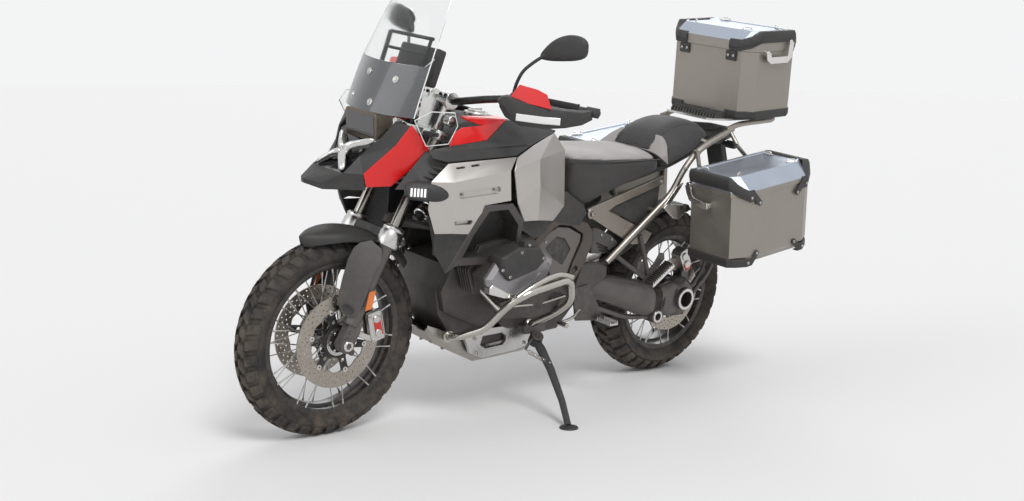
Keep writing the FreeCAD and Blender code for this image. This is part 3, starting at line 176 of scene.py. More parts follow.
# edge wear: a mask of the corners where hands, boots and stones have thinned the finish
wear_group, gin, gout = shader_group("edge_wear", [("Colour", "Color", (0.5, 0.5, 0.5, 1)), ("Bare", "Color",
    (0.6, 0.6, 0.6, 1)), ("Amount", "Float", 0.5)], [("Colour", "Color"), ("Mask", "Float")])
shape = node(wear_group, "NewGeometry")
place = node(wear_group, "TexCoord")
patchy = node(wear_group, "TexNoise", in_Scale=60.0, in_Detail=6.0, in_Roughness=0.7)
corner = node(wear_group, "MapRange", at_1=0.53, at_2=0.62)
broken = node(wear_group, "MapRange", at_1=0.38, at_2=0.62)
both_masks = node(wear_group, "Math", operation="MULTIPLY")
strength = node(wear_group, "Math", operation="MULTIPLY")
blend = node(wear_group, "MixRGB")
wire(wear_group, [(shape, "Pointiness", corner, 0), (place, "Object", patchy, "Vector"), (patchy, "Fac",
    broken, 0), (corner, 0, both_masks, 0), (broken, 0, both_masks, 1), (both_masks, 0, strength, 0), (gin,
    "Amount", strength, 1), (strength, 0, blend, 0), (gin, "Colour", blend, 1), (gin, "Bare", blend, 2),
    (blend, 0, gout, "Colour"), (strength, 0, gout, "Mask")])

# trail dust: thicker near the ground and in patches, pale brown
dust_group, gin, gout = shader_group("trail_dust", [("Colour", "Color", (0.1, 0.1, 0.1, 1)), ("Amount",
    "Float", 0.3), ("Top", "Float", 0.8)], [("Colour", "Color"), ("Mask", "Float")])
place = node(dust_group, "TexCoord")
ground = node(dust_group, "SeparateXYZ")
fade = node(dust_group, "MapRange", at_2=0.0, at_3=0.25, at_4=1.0)
cloud = node(dust_group, "TexNoise", in_Scale=14.0, in_Detail=8.0, in_Roughness=0.72)
speck = node(dust_group, "MapRange", at_1=0.42, at_2=0.68)
over = node(dust_group, "Math", operation="MULTIPLY")
much = node(dust_group, "Math", operation="MULTIPLY")
cover = node(dust_group, "MixRGB", at_2=(0.27, 0.205, 0.145, 1))
wire(dust_group, [(place, "Object", ground, 0), (place, "Object", cloud, "Vector"), (ground, "Z", fade, 0),
    (gin, "Top", fade, 1), (cloud, "Fac", speck, 0), (fade, 0, over, 0), (speck, 0, over, 1), (over, 0, much,
    0), (gin, "Amount", much, 1), (much, 0, cover, 0), (gin, "Colour", cover, 1), (cover, 0, gout, "Colour"),
    (much, 0, gout, "Mask")])


def grouped(tree, group, **values):
    """A group placed in a material with its own values."""
    made = tree.nodes.new("ShaderNodeGroup")
    made.node_tree = group
    for key, value in values.items():
        made.inputs[key.replace("_", " ")].default_value = value
    return made


def finish(name, colour, rough, metal=0.0, shade=0.12, grain=900.0, relief=0.0002, bare=None, wear=0.6,
        dust=0.0, dust_top=0.8, coat=0.0, rough_play=0.12, shade_scale=9.0, **more):
    """A paint, plastic or metal: its colour with slow shading, worn corners, dust and grain."""
    made = bpy.data.materials.new(name)
    made.use_nodes = True
    tree = made.node_tree
    skin = tree.nodes["Principled BSDF"]
    skin.inputs["Metallic"].default_value = metal
    skin.inputs["Coat Weight"].default_value = coat
    for key, value in more.items():
        skin.inputs[key.replace("_", " ")].default_value = value
    grains = grouped(tree, grain_group, Scale=grain, Shade_Scale=shade_scale)
    darker = tuple(c * (1 - shade) for c in colour) + (1,)
    lighter = tuple(min(1.0, c * (1 + shade)) for c in colour) + (1,)
    tone = node(tree, "MixRGB", at_1=darker, at_2=lighter)
    wire(tree, [(grains, "Shade", tone, 0)])
    last = (tone, 0)
    if bare:
        worn = grouped(tree, wear_group, Bare=tuple(bare) + (1,), Amount=wear)
        wire(tree, [(*last, worn, "Colour")])
        last = (worn, "Colour")
    spread = node(tree, "MapRange", at_1=0.3, at_2=0.7, at_3=max(0.02, rough - rough_play), at_4=min(1.0,
        rough + rough_play))
    wire(tree, [(grains, "Shade", spread, 0)])
    rough_from = (spread, 0)
    if dust:
        dusty = grouped(tree, dust_group, Amount=dust, Top=dust_top)
        dull = node(tree, "Math", operation="MAXIMUM")
        wire(tree, [(*last, dusty, "Colour"), (dusty, "Mask", dull, 0), (*rough_from, dull, 1)])
        last, rough_from = (dusty, "Colour"), (dull, 0)
    bump = node(tree, "Bump", in_Distance=relief, in_Strength=0.6)
    wire(tree, [(*last, skin, "Base Color"), (*rough_from, skin, "Roughness"), (grains, "Relief", bump,
        "Height"), (bump, 0, skin, "Normal")])
    return made


def turned(profile, centre, axis=LEFT, steps=96, closed=True):
    """A profile of radius, distance pairs turned about an axis."""
    axis = Vector(axis).normalized()
    first = axis.orthogonal().normalized()
    second = axis.cross(first)
    verts = []
    for i in range(steps):
        a = tau * i / steps
        out = first * cos(a) + second * sin(a)
        verts += [Vector(centre) + out * r + axis * d for r, d in profile]
    n = len(profile)
    faces = []
    for i in range(steps):
        k = (i + 1) % steps
        for j in range(n if closed else n - 1):
            m = (j + 1) % n
            faces.append((i * n + j, i * n + m, k * n + m, k * n + j))
    if not closed:
        faces.append([i * n for i in range(steps)])
        faces.append([i * n + n - 1 for i in reversed(range(steps))])
    return verts, faces


def parked(name, shapes):
    """Several shapes as one mesh on the parked machine, its faces all wound outward."""
    verts, faces = [], []
    for more_verts, more_faces in shapes:
        start = len(verts)
        verts += [PARK @ Vector(v) for v in more_verts]
        faces += [[start + i for i in face] for face in more_faces]
    mesh = bpy.data.meshes.new(name)
    mesh.from_pydata(verts, [], faces)
    work = bmesh.new()
    work.from_mesh(mesh)
    bmesh.ops.recalc_face_normals(work, faces=work.faces)
    work.to_mesh(mesh)
    work.free()
    return mesh


def flipped(shape):
    """The same shape on the other side of the machine."""
    return [Vector((v[0], -v[1], v[2])) for v in shape[0]], [list(reversed(f)) for f in shape[1]]


def pair(shapes):
    """Shapes for the left side, and the same ones for the right."""
    return list(shapes) + [flipped(one) for one in shapes]


def made(name, shapes, material, slot, body="chassis", bevel=0.0, steps=2, smooth=40.0, soft=0, replaces=(),
        limit=28.0):
    """A finished piece: its mesh parked, shaded, bevelled, given its material and its body."""
    mesh = parked(name, shapes)
    mesh.validate()
    mesh.polygons.foreach_set("use_smooth", [True] * len(mesh.polygons))
    if not soft:
        mesh.set_sharp_from_angle(angle=radians(smooth))
    mesh.materials.append(material)
    piece = bpy.data.objects.new(name, mesh)
    scene.collection.objects.link(piece)
    if bevel:
        edge = piece.modifiers.new("rounded_edges", "BEVEL")
        edge.width, edge.segments, edge.limit_method = bevel / 1000.0, steps, "ANGLE"
        edge.angle_limit = radians(limit)
        edge.harden_normals = not soft
        edge.miter_outer = "MITER_ARC"
    if soft:
        round_off = piece.modifiers.new("smooth", "SUBSURF")
        round_off.levels = round_off.render_levels = soft
    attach(piece, body)
    if replaces:
        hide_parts(*replaces)
    return piece


def two_sided(profile):
    """A profile of radius, distance pairs carried on to the other side of the wheel."""
    return profile + [(r, -y) for r, y in reversed(profile)]


def tyre_carcass(centre, radius, half, bead_r, bead_y, depth):
    """The smooth body of a tyre under its blocks."""
    side = [(bead_r + 1, bead_y), (bead_r + 13, bead_y + 3.5), (bead_r + 16, bead_y + 8), (bead_r + 0.36 *
        (radius - bead_r), half - 4), (bead_r + 0.5 * (radius - bead_r), half - 2.5)]
    for share in (0.9, 0.8, 0.66, 0.5, 0.32, 0.14):
        side.append((radius - depth - 0.62 * half * share ** 2.4, half * share))
    profile = side + [(radius - depth, 0)] + [(r, -y) for r, y in reversed(side)]
    profile += [(bead_r - 2, -bead_y + 4), (bead_r - 2, bead_y - 4)]
    return turned(profile, centre, LEFT, 144)


def tread_block(centre, radius, half, turn, length, stations, depth):
    """One block: at each distance y across the tread, how far it leans round the wheel."""
    verts = []
    for y, lean in stations:
        crown = radius - 0.62 * half * (abs(y) / half) ** 2.4
        slope = y / half
        for r, grow in ((crown - depth, 1.14), (crown, 1.0), (crown, 1.0), (crown - depth, 1.14)):
            side = -0.5 if len(verts) % 4 < 2 else 0.5
            a = turn + (lean + side * length * grow) / radius
            spread = y + slope * (crown - r) * 0.2
            verts.append(centre + Vector((r * cos(a), spread, r * sin(a))))
    faces = [(0, 1, 2, 3), tuple(len(verts) - 4 + i for i in (3, 2, 1, 0))]
    for s in range(len(stations) - 1):
        for i in range(4):
            k = (i + 1) % 4
            faces.append((4 * s + i, 4 * s + 4 + i, 4 * s + 4 + k, 4 * s + k))
    return verts, faces


def tread(centre, radius, half, count, rows, depth):
    """All the blocks of a tyre; a row is its phase, block length and stations."""
    blocks = []
    for i in range(count):
        for phase, length, stations in rows:
            for side in (1, -1):
                turn = tau * (i + phase + (0.5 if side < 0 else 0.0)) / count
                flat = [(y * side, lean) for y, lean in stations]
                blocks.append(tread_block(centre, radius, half, turn, length, flat, depth))
    return blocks


rubber = finish("dusty_rubber", (0.021, 0.0195, 0.0185), 0.8, grain=1600.0, relief=0.0005, shade=0.3,
    bare=(0.1, 0.084, 0.07), wear=0.6, dust=0.36, dust_top=1.0, rough_play=0.1)
front_rows = [(0.0, 31.0, [(2, 7), (14, 0), (25, -8)]), (0.42, 33.0, [(29, -6), (42, -1), (53, 4)])]
rear_rows = [(0.0, 34.0, [(2, 8), (17, 0), (32, -9)]), (0.45, 36.0, [(37, -6), (56, 0), (74, 5)])]
for wheel, centre, size, rows in (("front", FRONT_AXLE, (330, 60, 241, 37.5, 38, 10.0), front_rows), ("rear",
        REAR_AXLE, (322, 85, 216, 56.5, 36, 11.0), rear_rows)):
    radius, half, bead_r, bead_y, count, depth = size
    made(wheel + "_tyre_carcass", [tyre_carcass(centre, radius, half, bead_r, bead_y, depth)], rubber,
        "tyre_rubber", wheel + "_wheel", replaces=[wheel + "_tyre"])
    made(wheel + "_tread_blocks", tread(centre, radius, half, count, rows, depth + 1.5), rubber,
        "tyre_rubber", wheel + "_wheel", bevel=1.3, steps=1)

# ------------------------------------------------------------------ rims, spokes and hubs
# Black tubeless rims laced by crossed steel spokes to their outer edges, on cast hubs.  Each
# spoke screws into a plated nipple at the rim.


def bar(start, end, radius, steps=16, end_radius=None):
    """A round bar or cone between two points."""
    start, end = Vector(start), Vector(end)
    end_radius = radius if end_radius is None else end_radius
    return turned([(radius, 0), (end_radius, (end - start).length)], start, end - start, steps, False)


def rim_profile(seat_r, half):
    """A deep-well rim with rolled edges, as a closed section."""
    upper = [(11.5, half), (12.5, half - 2), (11, half - 3.4), (1, half - 3.6), (0, half - 6)]
    well = [(-1, half - 0.6), (-6, half - 3), (-7, half * 0.72), (-8, half * 0.5), (-17, half * 0.36), (-18,
        half * 0.2)]
    return [(seat_r + r, y) for r, y in two_sided(upper) + [(r, -y) for r, y in well] + well[::-1]]


def laced(centre, rim_r, rim_y, hub_r, hub_y, pairs, radius, sweep):
    """Crossed spokes from both edges of the rim to the hub, with their nipples."""
    wires, nipples = [], []
    for side in (-1, 1):
        for i in range(pairs):
            for lean in (-1, 1):
                at = tau / pairs * (i + 0.25 * side + 0.13 * lean)
                root = at + lean * sweep
                outer = centre + Vector((rim_r * cos(at), side * rim_y, rim_r * sin(at)))
                inner = centre + Vector((hub_r * cos(root), side * (hub_y + 2.4 * lean), hub_r * sin(root)))
                way = (inner - outer).normalized()
                wires.append(bar(outer, inner, radius, 8))
                nipples.append(bar(outer - way * 2, outer + way * 15, radius + 1.7, 8, radius + 1.1))
    return wires, nipples


rim_black = finish("rim_black", (0.012, 0.012, 0.013), 0.32, metal=0.3, relief=0.00006, bare=(0.2, 0.18,
    0.16), wear=0.4, dust=0.3, dust_top=1.1, coat=0.3)
hub_black = finish("hub_black", (0.02, 0.02, 0.021), 0.42, metal=0.4, relief=0.0003, bare=(0.3, 0.29, 0.28),
    wear=0.6, dust=0.25)
spoke_steel = finish("spoke_steel", (0.55, 0.54, 0.52), 0.3, metal=1.0, relief=0.00005, dust=0.12)
for wheel, centre, size in (("front", FRONT_AXLE, (241.3, 41, 36, 28, 10, 0.9)), ("rear", REAR_AXLE, (215.9,
        60, 66, 38, 10, 0.9))):
    seat_r, half, hub_r, hub_y, pairs, sweep = size
    made(wheel + "_rim_hoop", [turned(rim_profile(seat_r, half), centre, LEFT, 144)], rim_black, "rim_black",
        wheel + "_wheel", replaces=[wheel + "_rim"])
    wires, nipples = laced(centre, seat_r - 6, half - 6, hub_r, hub_y, pairs, 2.1, sweep)
    made(wheel + "_spokes", wires + nipples, spoke_steel, "tube_steel", wheel + "_wheel")

front_hub_profile = two_sided([(13, 58), (30, 58), (31, 55), (27, 52), (27, 36), (39, 33), (40, 30), (38, 24),
    (24, 18), (20, 8)])
rear_hub_profile = [(28, 83), (60, 83), (63, 80), (61, 46), (71, 44), (72, 40), (70, 33), (52, 28), (48, 14),
    (48, -14), (52, -28), (70, -33), (72, -40), (71, -44), (54, -48), (52, -62), (40, -66), (28, -66)]
made("front_hub_body", [turned(front_hub_profile, FRONT_AXLE, LEFT, 64)], hub_black, "hub_black",
    "front_wheel", bevel=0.8, replaces=["front_hub"])
made("rear_hub_body", [turned(rear_hub_profile, REAR_AXLE, LEFT, 64)], hub_black, "hub_black", "rear_wheel",
    bevel=0.8, replaces=["rear_hub"])

# ------------------------------------------------------------------ brake discs
# Ground steel rings pierced with staggered holes, floating on black carriers by plated bobbins.
# The left front carrier also holds the slotted speed ring.


def ring_of(radius, count, centre=(0.0, 0.0)):
    """Points evenly round a circle."""
    return [(centre[0] + radius * cos(a), centre[1] + radius * sin(a)) for a in turns(count)]


def pierced(outlines, low, high, centre=Vector((0, 0, 0)), axes=(AHEAD, UP, LEFT)):
    """A flat plate cut to the first outline, pierced by the others, between two levels."""
    line = bpy.data.curves.new("cut", "CURVE")
    line.dimensions, line.fill_mode, line.extrude = "2D", "BOTH", (high - low) / 2000.0
    for outline in outlines:
        run = line.splines.new("POLY")
        run.points.add(len(outline) - 1)
        run.use_cyclic_u = True
        for point, (u, v) in zip(run.points, outline):
            point.co = (u / 1000.0, v / 1000.0, 0, 1)
    holder = bpy.data.objects.new("cut", line)
    mesh = bpy.data.meshes.new_from_object(holder)
    work = bmesh.new()
    work.from_mesh(mesh)
    bmesh.ops.remove_doubles(work, verts=work.verts, dist=1e-6)
    middle = (low + high) / 2.0
    verts = [Vector(centre) + axes[0] * v.co.x * 1000 + axes[1] * v.co.y * 1000 + axes[2] * (v.co.z * 1000 +
        middle) for v in work.verts]
    work.verts.index_update()
    faces = [[v.index for v in f.verts] for f in work.faces]
    work.free()
    bpy.data.objects.remove(holder)
    bpy.data.meshes.remove(mesh)
    bpy.data.curves.remove(line)
    return verts, faces


def disc_band(centre, y, outer, inner):
    """The pierced braking ring, its inner edge scalloped where the bobbins sit."""
    scallop = [((inner + 2.5 * cos(12 * a)) * cos(a), (inner + 2.5 * cos(12 * a)) * sin(a)) for a in
        turns(120)]
    holes = []
    for row in (0.2, 0.42, 0.64, 0.85):
        r = inner + 4 + row * (outer - inner - 6)
        holes += [ring_of(2.9, 10, (r * cos(a), r * sin(a))) for a in turns(30, row * 2.4)]
    return pierced([ring_of(outer, 144), scallop] + holes, y + 0.4, y + 4.6, centre)


def carrier(centre, y, bore, reach, arms, turn=0.0):
    """A spider with forked arms that carries a disc."""
    outline = []
    for i in range(arms):
        for step, r in ((-0.34, 0.52), (-0.2, 0.6), (-0.13, 0.86), (-0.1, 1.0), (0.1, 1.0), (0.13, 0.86),
                (0.2, 0.6), (0.34, 0.52)):
            a = turn + tau * (i + step) / arms
            outline.append((reach * r * cos(a), reach * r * sin(a)))
    lighten = []
    for i in range(arms):
        a = turn + tau * i / arms
        lighten.append(ring_of(reach * 0.07, 14, (reach * 0.66 * cos(a), reach * 0.66 * sin(a))))
    return pierced([outline, ring_of(bore, 48)] + lighten, y, y + 5, centre)


disc_steel = finish("disc_steel", (0.42, 0.385, 0.34), 0.34, metal=1.0, shade=0.16, relief=0.0001,
    grain=2200.0, dust=0.35, dust_top=1.3, shade_scale=30.0)
carrier_black = finish("carrier_black", (0.014, 0.014, 0.015), 0.4, metal=0.2, relief=0.0001, bare=(0.3, 0.3,
    0.3), wear=0.5, dust=0.2)
plated = finish("plated_steel", (0.66, 0.65, 0.63), 0.24, metal=1.0, relief=0.00005)
for side in (1, -1):
    word = "left" if side > 0 else "right"
    y = 62 if side > 0 else -67
    made("front_disc_" + word, [disc_band(FRONT_AXLE, y, 155, 103)], disc_steel, "disc_steel", "front_wheel",
        replaces=["front_discs"] if side > 0 else ())
    made("front_carrier_" + word, [carrier(FRONT_AXLE, y, 26, 105, 6, 0.2)], carrier_black, "hub_black",
        "front_wheel", bevel=0.9)
made("rear_disc_band", [disc_band(REAR_AXLE, 84, 142.5, 94)], disc_steel, "disc_steel", "rear_wheel",
    replaces=["rear_disc"])
made("rear_carrier", [carrier(REAR_AXLE, 84, 30, 96, 5, 0.5)], carrier_black, "hub_black", "rear_wheel",
    bevel=0.9)
bobbins = []
for i in range(6):
    a = 0.2 + tau * i / 6
    spot = Vector((103 * cos(a), 0, 103 * sin(a)))
    for y in (62.3, -68.6):
        bobbins.append(turned([(3.2, 0), (8.4, 0), (8.8, 1), (8.8, 5.3), (8.4, 6.3), (3.2, 6.3)], FRONT_AXLE +
            spot + LEFT * y, LEFT, 20))
speed_ring = [ring_of(46, 96), ring_of(36, 64)]
speed_ring += [ring_of(1.9, 8, (41.5 * cos(a), 41.5 * sin(a))) for a in turns(32)]
for i in range(6):
    a = tau * i / 6
    spot = Vector((31 * cos(a), 69, 31 * sin(a)))
    bobbins.append(turned([(1.6, 0), (4.6, 0), (4.6, 3.0), (4.0, 3.6), (1.6, 3.6)], FRONT_AXLE + spot, LEFT,
        12))
made("disc_bobbins", bobbins + [pierced(speed_ring, 68, 70, FRONT_AXLE)], plated, "tube_steel", "front_wheel",
    bevel=0.3, steps=1)

# ------------------------------------------------------------------ fork legs
# Cast sliders in satin grey clamp the hollow axle at their feet.  Turned alloy collars bolt them
# to the lower bridge, and polished tubes run up from there to the top clamp.
STEER = radians(63.8)
STEER_UP = Vector((-cos(STEER), 0, sin(STEER)))
STEER_AHEAD = Vector((sin(STEER), 0, cos(STEER)))


def steer(along, ahead=0.0, y=0.0):
    """A point by its distance up the steering axis, ahead of it and to the left."""
    return Vector((886, y, 0)) + STEER_UP * along + STEER_AHEAD * ahead


def slab(points, offset):
    """A flat shape of any corners, thickened by an offset."""
    n, offset = len(points), Vector(offset)
    verts = [Vector(p) for p in points] + [Vector(p) + offset for p in points]
    faces = [list(range(n)), [2 * n - 1 - i for i in range(n)]]
    faces += [(i, (i + 1) % n, n + (i + 1) % n, n + i) for i in range(n)]
    return verts, faces


def prism(outline, low, high):
    """An outline of x, z pairs made solid between two values of y."""
    return slab([(x, low, z) for x, z in outline], (0, high - low, 0))


def web(circles, low, high, steps=20):
    """A plate whose outline is stretched like a belt round circles of x, z, radius."""
    cloud = [(x + r * cos(tau * i / steps), z + r * sin(tau * i / steps)) for x, z, r in circles for i in
        range(steps)]
    cloud = sorted(set((round(x, 3), round(z, 3)) for x, z in cloud))
    hull = []
    for run in (cloud, list(reversed(cloud))):
        side = []
        for p in run:
            while len(side) > 1 and ((side[-1][0] - side[-2][0]) * (p[1] - side[-2][1]) - (side[-1][1] -
                    side[-2][1]) * (p[0] - side[-2][0])) <= 0:
                side.pop()
            side.append(p)
        hull += side[:-1]
    return prism(hull, low, high)


def bolt(at, out, radius=5.0, height=4.0):
    """A button-headed screw with a hexagon socket, its head standing out of the surface."""
    return turned([(0.1, height * 0.35), (radius * 0.42, height * 0.35), (radius * 0.5, height), (radius *
        0.82, height * 0.86), (radius, height * 0.4), (radius, -1.0)], at, out, 14, False)


def rounded(points, bend, steps=6):
    """A path through points with its corners rounded, and sampled for a tube."""
    points = [Vector(p) for p in points]
    path = [points[0]]
    for i in range(1, len(points) - 1):
        into, out = points[i] - points[i - 1], points[i + 1] - points[i]
        reach = min(bend, 0.45 * into.length, 0.45 * out.length)
        a, c = points[i] - into.normalized() * reach, points[i] + out.normalized() * reach
        for s in range(steps + 1):
            t = s / steps
            path.append(a * (1 - t) ** 2 + points[i] * 2 * t * (1 - t) + c * t * t)
    return path + [points[-1]]


def tube(points, radius, bend=40.0, around=14, radii=None, flat=1.0):
    """A bent tube through points; radii may differ along it, and flat squashes its section."""
    path = rounded(points, bend) if bend else [Vector(p) for p in points]
    verts, faces = [], []
    side = None
    for i, p in enumerate(path):
        way = (path[min(i + 1, len(path) - 1)] - path[max(i - 1, 0)]).normalized()
        side = way.orthogonal() if side is None else side - way * side.dot(way)
        side.normalize()
        other = way.cross(side)
        share = i / (len(path) - 1)
        size = radius if radii is None else radii[0] + (radii[1] - radii[0]) * share
        for k in range(around):
            a = tau * k / around
            verts.append(p + side * size * cos(a) + other * size * flat * sin(a))
    for i in range(len(path) - 1):
        for k in range(around):
            m = (k + 1) % around
            faces.append((i * around + k, i * around + m, (i + 1) * around + m, (i + 1) * around + k))
    faces.append(list(range(around)))
    faces.append([len(verts) - 1 - k for k in range(around)])
    return verts, faces


def lofted(sections, ring=False):
    """A solid through closed sections of the same count, capped at both ends or closed on itself."""
    n = len(sections[0])
    verts = [Vector(p) for one in sections for p in one]
    faces = [] if ring else [list(range(n)), [len(verts) - 1 - k for k in range(n)]]
    for s in range(len(sections) if ring else len(sections) - 1):
        low, high = s * n, (s + 1) % len(sections) * n
        faces += [(low + k, low + (k + 1) % n, high + (k + 1) % n, high + k) for k in range(n)]
    return verts, faces


FORK_AHEAD, FORK_OUT = 52, 101
BRIDGE_FOOT, BRIDGE_HEAD = 706, 738
leg = steer(350, FORK_AHEAD, FORK_OUT)
slider_grey = finish("slider_grey", (0.115, 0.108, 0.102), 0.42, metal=0.55, relief=0.0002, bare=(0.4, 0.39,
    0.37), wear=0.3, dust=0.35)
satin_alloy = finish("satin_alloy", (0.6, 0.59, 0.57), 0.3, metal=1.0, shade=0.06, relief=0.00006,
    grain=1800.0)
slider_profile = [(22, 60), (26.5, 64), (27, 150), (25, 158), (25, 330), (27, 338), (27, 398)]
slider = turned(slider_profile, leg, STEER_UP, 40, False)
foot = [web([(767, 330, 27), (736, 396, 25)], 84, 118), bar(FRONT_AXLE + LEFT * 80, FRONT_AXLE + LEFT * 122,
    25, 32), web([(767, 330, 16), (742, 300, 9)], 92, 112), bolt((745, 112, 303), LEFT, 6, 5), bolt((759, 119,
    372), LEFT, 5, 4)]
made("fork_slider_legs", pair([slider] + foot), slider_grey, "dark_grey_paint", "steering", bevel=2.0,
    replaces=["fork_sliders"])
axle_end = turned([(8.7, -127), (8.7, 124.5), (10.5, 128.6), (16, 128.6), (18, 126), (18, 120), (12.4, 118),
    (12.4, -118), (18, -120), (18, -126), (16, -128.6), (10.5, -128.6)], FRONT_AXLE, LEFT, 36)
made("front_axle", [axle_end], plated, "tube_steel", "steering", bevel=0.5, steps=1)
collar_profile = [(28, -8), (36, -8), (37.4, -4), (38.5, 6), (38.5, 34), (36, 42), (35, 46), (36, 49), (36,
    54), (33, 59), (27, 62), (19, 62)]
collar = turned(collar_profile, steer(695, FORK_AHEAD, FORK_OUT), STEER_UP, 48, False)
verts, faces = web([(0, 0, 5), (0, 26, 5), (9, 13, 9)], -4, 4)
ear = [steer(BRIDGE_FOOT + v[2], 20 - v[0], 119 + v[1]) for v in verts], faces
pins = [bolt(steer(BRIDGE_FOOT + d, 18, 123), LEFT, 4, 3) for d in (0, 26)]
made("fork_collars", pair([collar, ear] + pins), satin_alloy, "satin_aluminium", "steering", bevel=1.2,
    replaces=["fork_bridge"])
bridge = slab([steer(BRIDGE_FOOT, 74, -96), steer(BRIDGE_FOOT, 74, 96), steer(BRIDGE_FOOT, 30, 98),
    steer(BRIDGE_FOOT, -24, 30), steer(BRIDGE_FOOT, -24, -30), steer(BRIDGE_FOOT, 30, -98)], STEER_UP * 32)
bridge_rib = [slab([steer(BRIDGE_HEAD, 66, y - 5), steer(BRIDGE_HEAD, 66, y + 5), steer(BRIDGE_HEAD, -10, y *
    0.3 + 5), steer(BRIDGE_HEAD, -10, y * 0.3 - 5)], STEER_UP * 6) for y in (-60, 60)]
cast_black = finish("cast_black", (0.022, 0.021, 0.021), 0.5, metal=0.2, relief=0.0004, grain=700.0,
    bare=(0.35, 0.34, 0.33), wear=0.45, dust=0.25)
ball_pin = turned([(12, 0), (17, 3), (17, 14), (10, 18), (10, 58), (6, 60)], steer(BRIDGE_HEAD), STEER_UP, 28,
    False)
made("lower_bridge", [bridge, ball_pin] + bridge_rib, cast_black, "satin_aluminium", "steering", bevel=2.5,
    steps=3)
chromed = finish("chromed_tube", (0.35, 0.33, 0.3), 0.2, metal=1.0, shade=0.05, relief=0.00002)
made("fork_tubes", pair([bar(steer(755, FORK_AHEAD, FORK_OUT), steer(1092, FORK_AHEAD, FORK_OUT), 18.5, 40)]),
    chromed, "tube_steel", "steering", replaces=["fork_stanchions"])

# ------------------------------------------------------------------ top clamp and handlebar
# A polished cast clamp ties the tubes to the steering stem, and a casting with bolted caps stands on
# it.  The caps hold a black bar with ribbed rubber grips, levers and switch blocks.
polished_cast = finish("polished_casting", (0.66, 0.65, 0.63), 0.2, metal=1.0, shade=0.08, relief=0.0003,
    grain=260.0)


CLAMP_FOOT = steer(1065)


def clamp_plate(circles, low, high):
    """A belt-like plate square to the steering axis, between two heights above the clamp's foot."""
    verts, faces = web(circles, low, high)
    return [CLAMP_FOOT + STEER_AHEAD * v[0] + LEFT * v[2] + STEER_UP * v[1] for v in verts], faces


switch_dark = finish("black_screws", (0.02, 0.02, 0.021), 0.4, metal=0.6, relief=0.0001)
clamp = [clamp_plate([(52, 101, 31), (52, 60, 24), (8, 30, 24)], 0, 24), clamp_plate([(52, -101, 31), (52,
    -60, 24), (8, -30, 24)], 0, 24), clamp_plate([(44, 60, 26), (44, -60, 26), (0, 0, 30)], 0, 24),
    clamp_plate([(52, 101, 27)], 20, 29), clamp_plate([(52, -101, 27)], 20, 29)]
stem_nut = turned([(2, 40), (13, 40), (15, 37), (15, 24), (22, 24), (22, 20)], CLAMP_FOOT, STEER_UP, 6, False)
made("top_clamp", clamp + [stem_nut], polished_cast, "satin_aluminium", "steering", bevel=4.5, steps=3)
bar_mid = Vector((380, 0, 1095))
clamp_foot = Vector((421, 0, 968))
rings = []
for share, half, deep in ((0, 50, 22), (0.12, 56, 26), (0.4, 54, 25), (0.7, 62, 27), (0.92, 66, 28), (1.08,
        66, 26)):
    at = clamp_foot.lerp(bar_mid, share)
    rings.append([at + LEFT * (half * copysign(abs(cos(a)) ** 0.5, cos(a))) + Vector((0.95, 0, 0.3)) * (deep *
        copysign(abs(sin(a)) ** 0.6, sin(a))) for a in turns(24, 0.5)])
caps = [bar(bar_mid + LEFT * 22, bar_mid + LEFT * 72, 29, 36), bar(bar_mid - LEFT * 22, bar_mid - LEFT * 72,
    29, 36)]
nuts = [turned([(17, 0), (19, 3), (19, 26), (16, 30), (8, 31)], (392, 66, 1034), LEFT, 28, False)]
made("bar_clamp", [lofted(rings)] + caps + pair(nuts), polished_cast, "satin_aluminium", "steering",
    bevel=4.0, steps=3)
made("clamp_bolts", pair([bolt(bar_mid + Vector((22, y, 20)), (0.72, 0, 0.7), 6, 4) for y in (34, 60)]),
    switch_dark, "tube_steel", "steering")
bar_points = [(380, 0, 1095), (380, 78, 1095), (312, 190, 1121), (252, 285, 1133), (144, 455, 1119)]
made("handlebar_tube", pair([tube(bar_points, 12.5, 55, 18)]), rim_black, "bar_black", "steering",
    replaces=["handlebar"])
bar_bend, bar_end = Vector(bar_points[3]), Vector(bar_points[4])
grip_way = (bar_end - bar_bend).normalized()
grip_foot = bar_bend + grip_way * 46
ribs = [(12, 0), (18.5, 0), (19, 3)]
for i in range(22):
    ribs += [(16.2, 6 + i * 5.2), (17.3, 7.2 + i * 5.2), (17.3, 9.4 + i * 5.2), (16.2, 10.6 + i * 5.2)]
ribs += [(17.5, 123), (18, 126), (17.5, 128), (12, 128)]
grip_rubber = finish("grip_rubber", (0.02, 0.02, 0.02), 0.8, grain=1500.0, relief=0.0004, bare=(0.08, 0.08,
    0.08), wear=0.4)
made("bar_grips", pair([turned(ribs, grip_foot, grip_way, 28, False)]), grip_rubber, "bar_black", "steering")
switch_black = finish("switch_plastic", (0.03, 0.03, 0.031), 0.55, grain=1300.0, relief=0.0003)
blocks = []
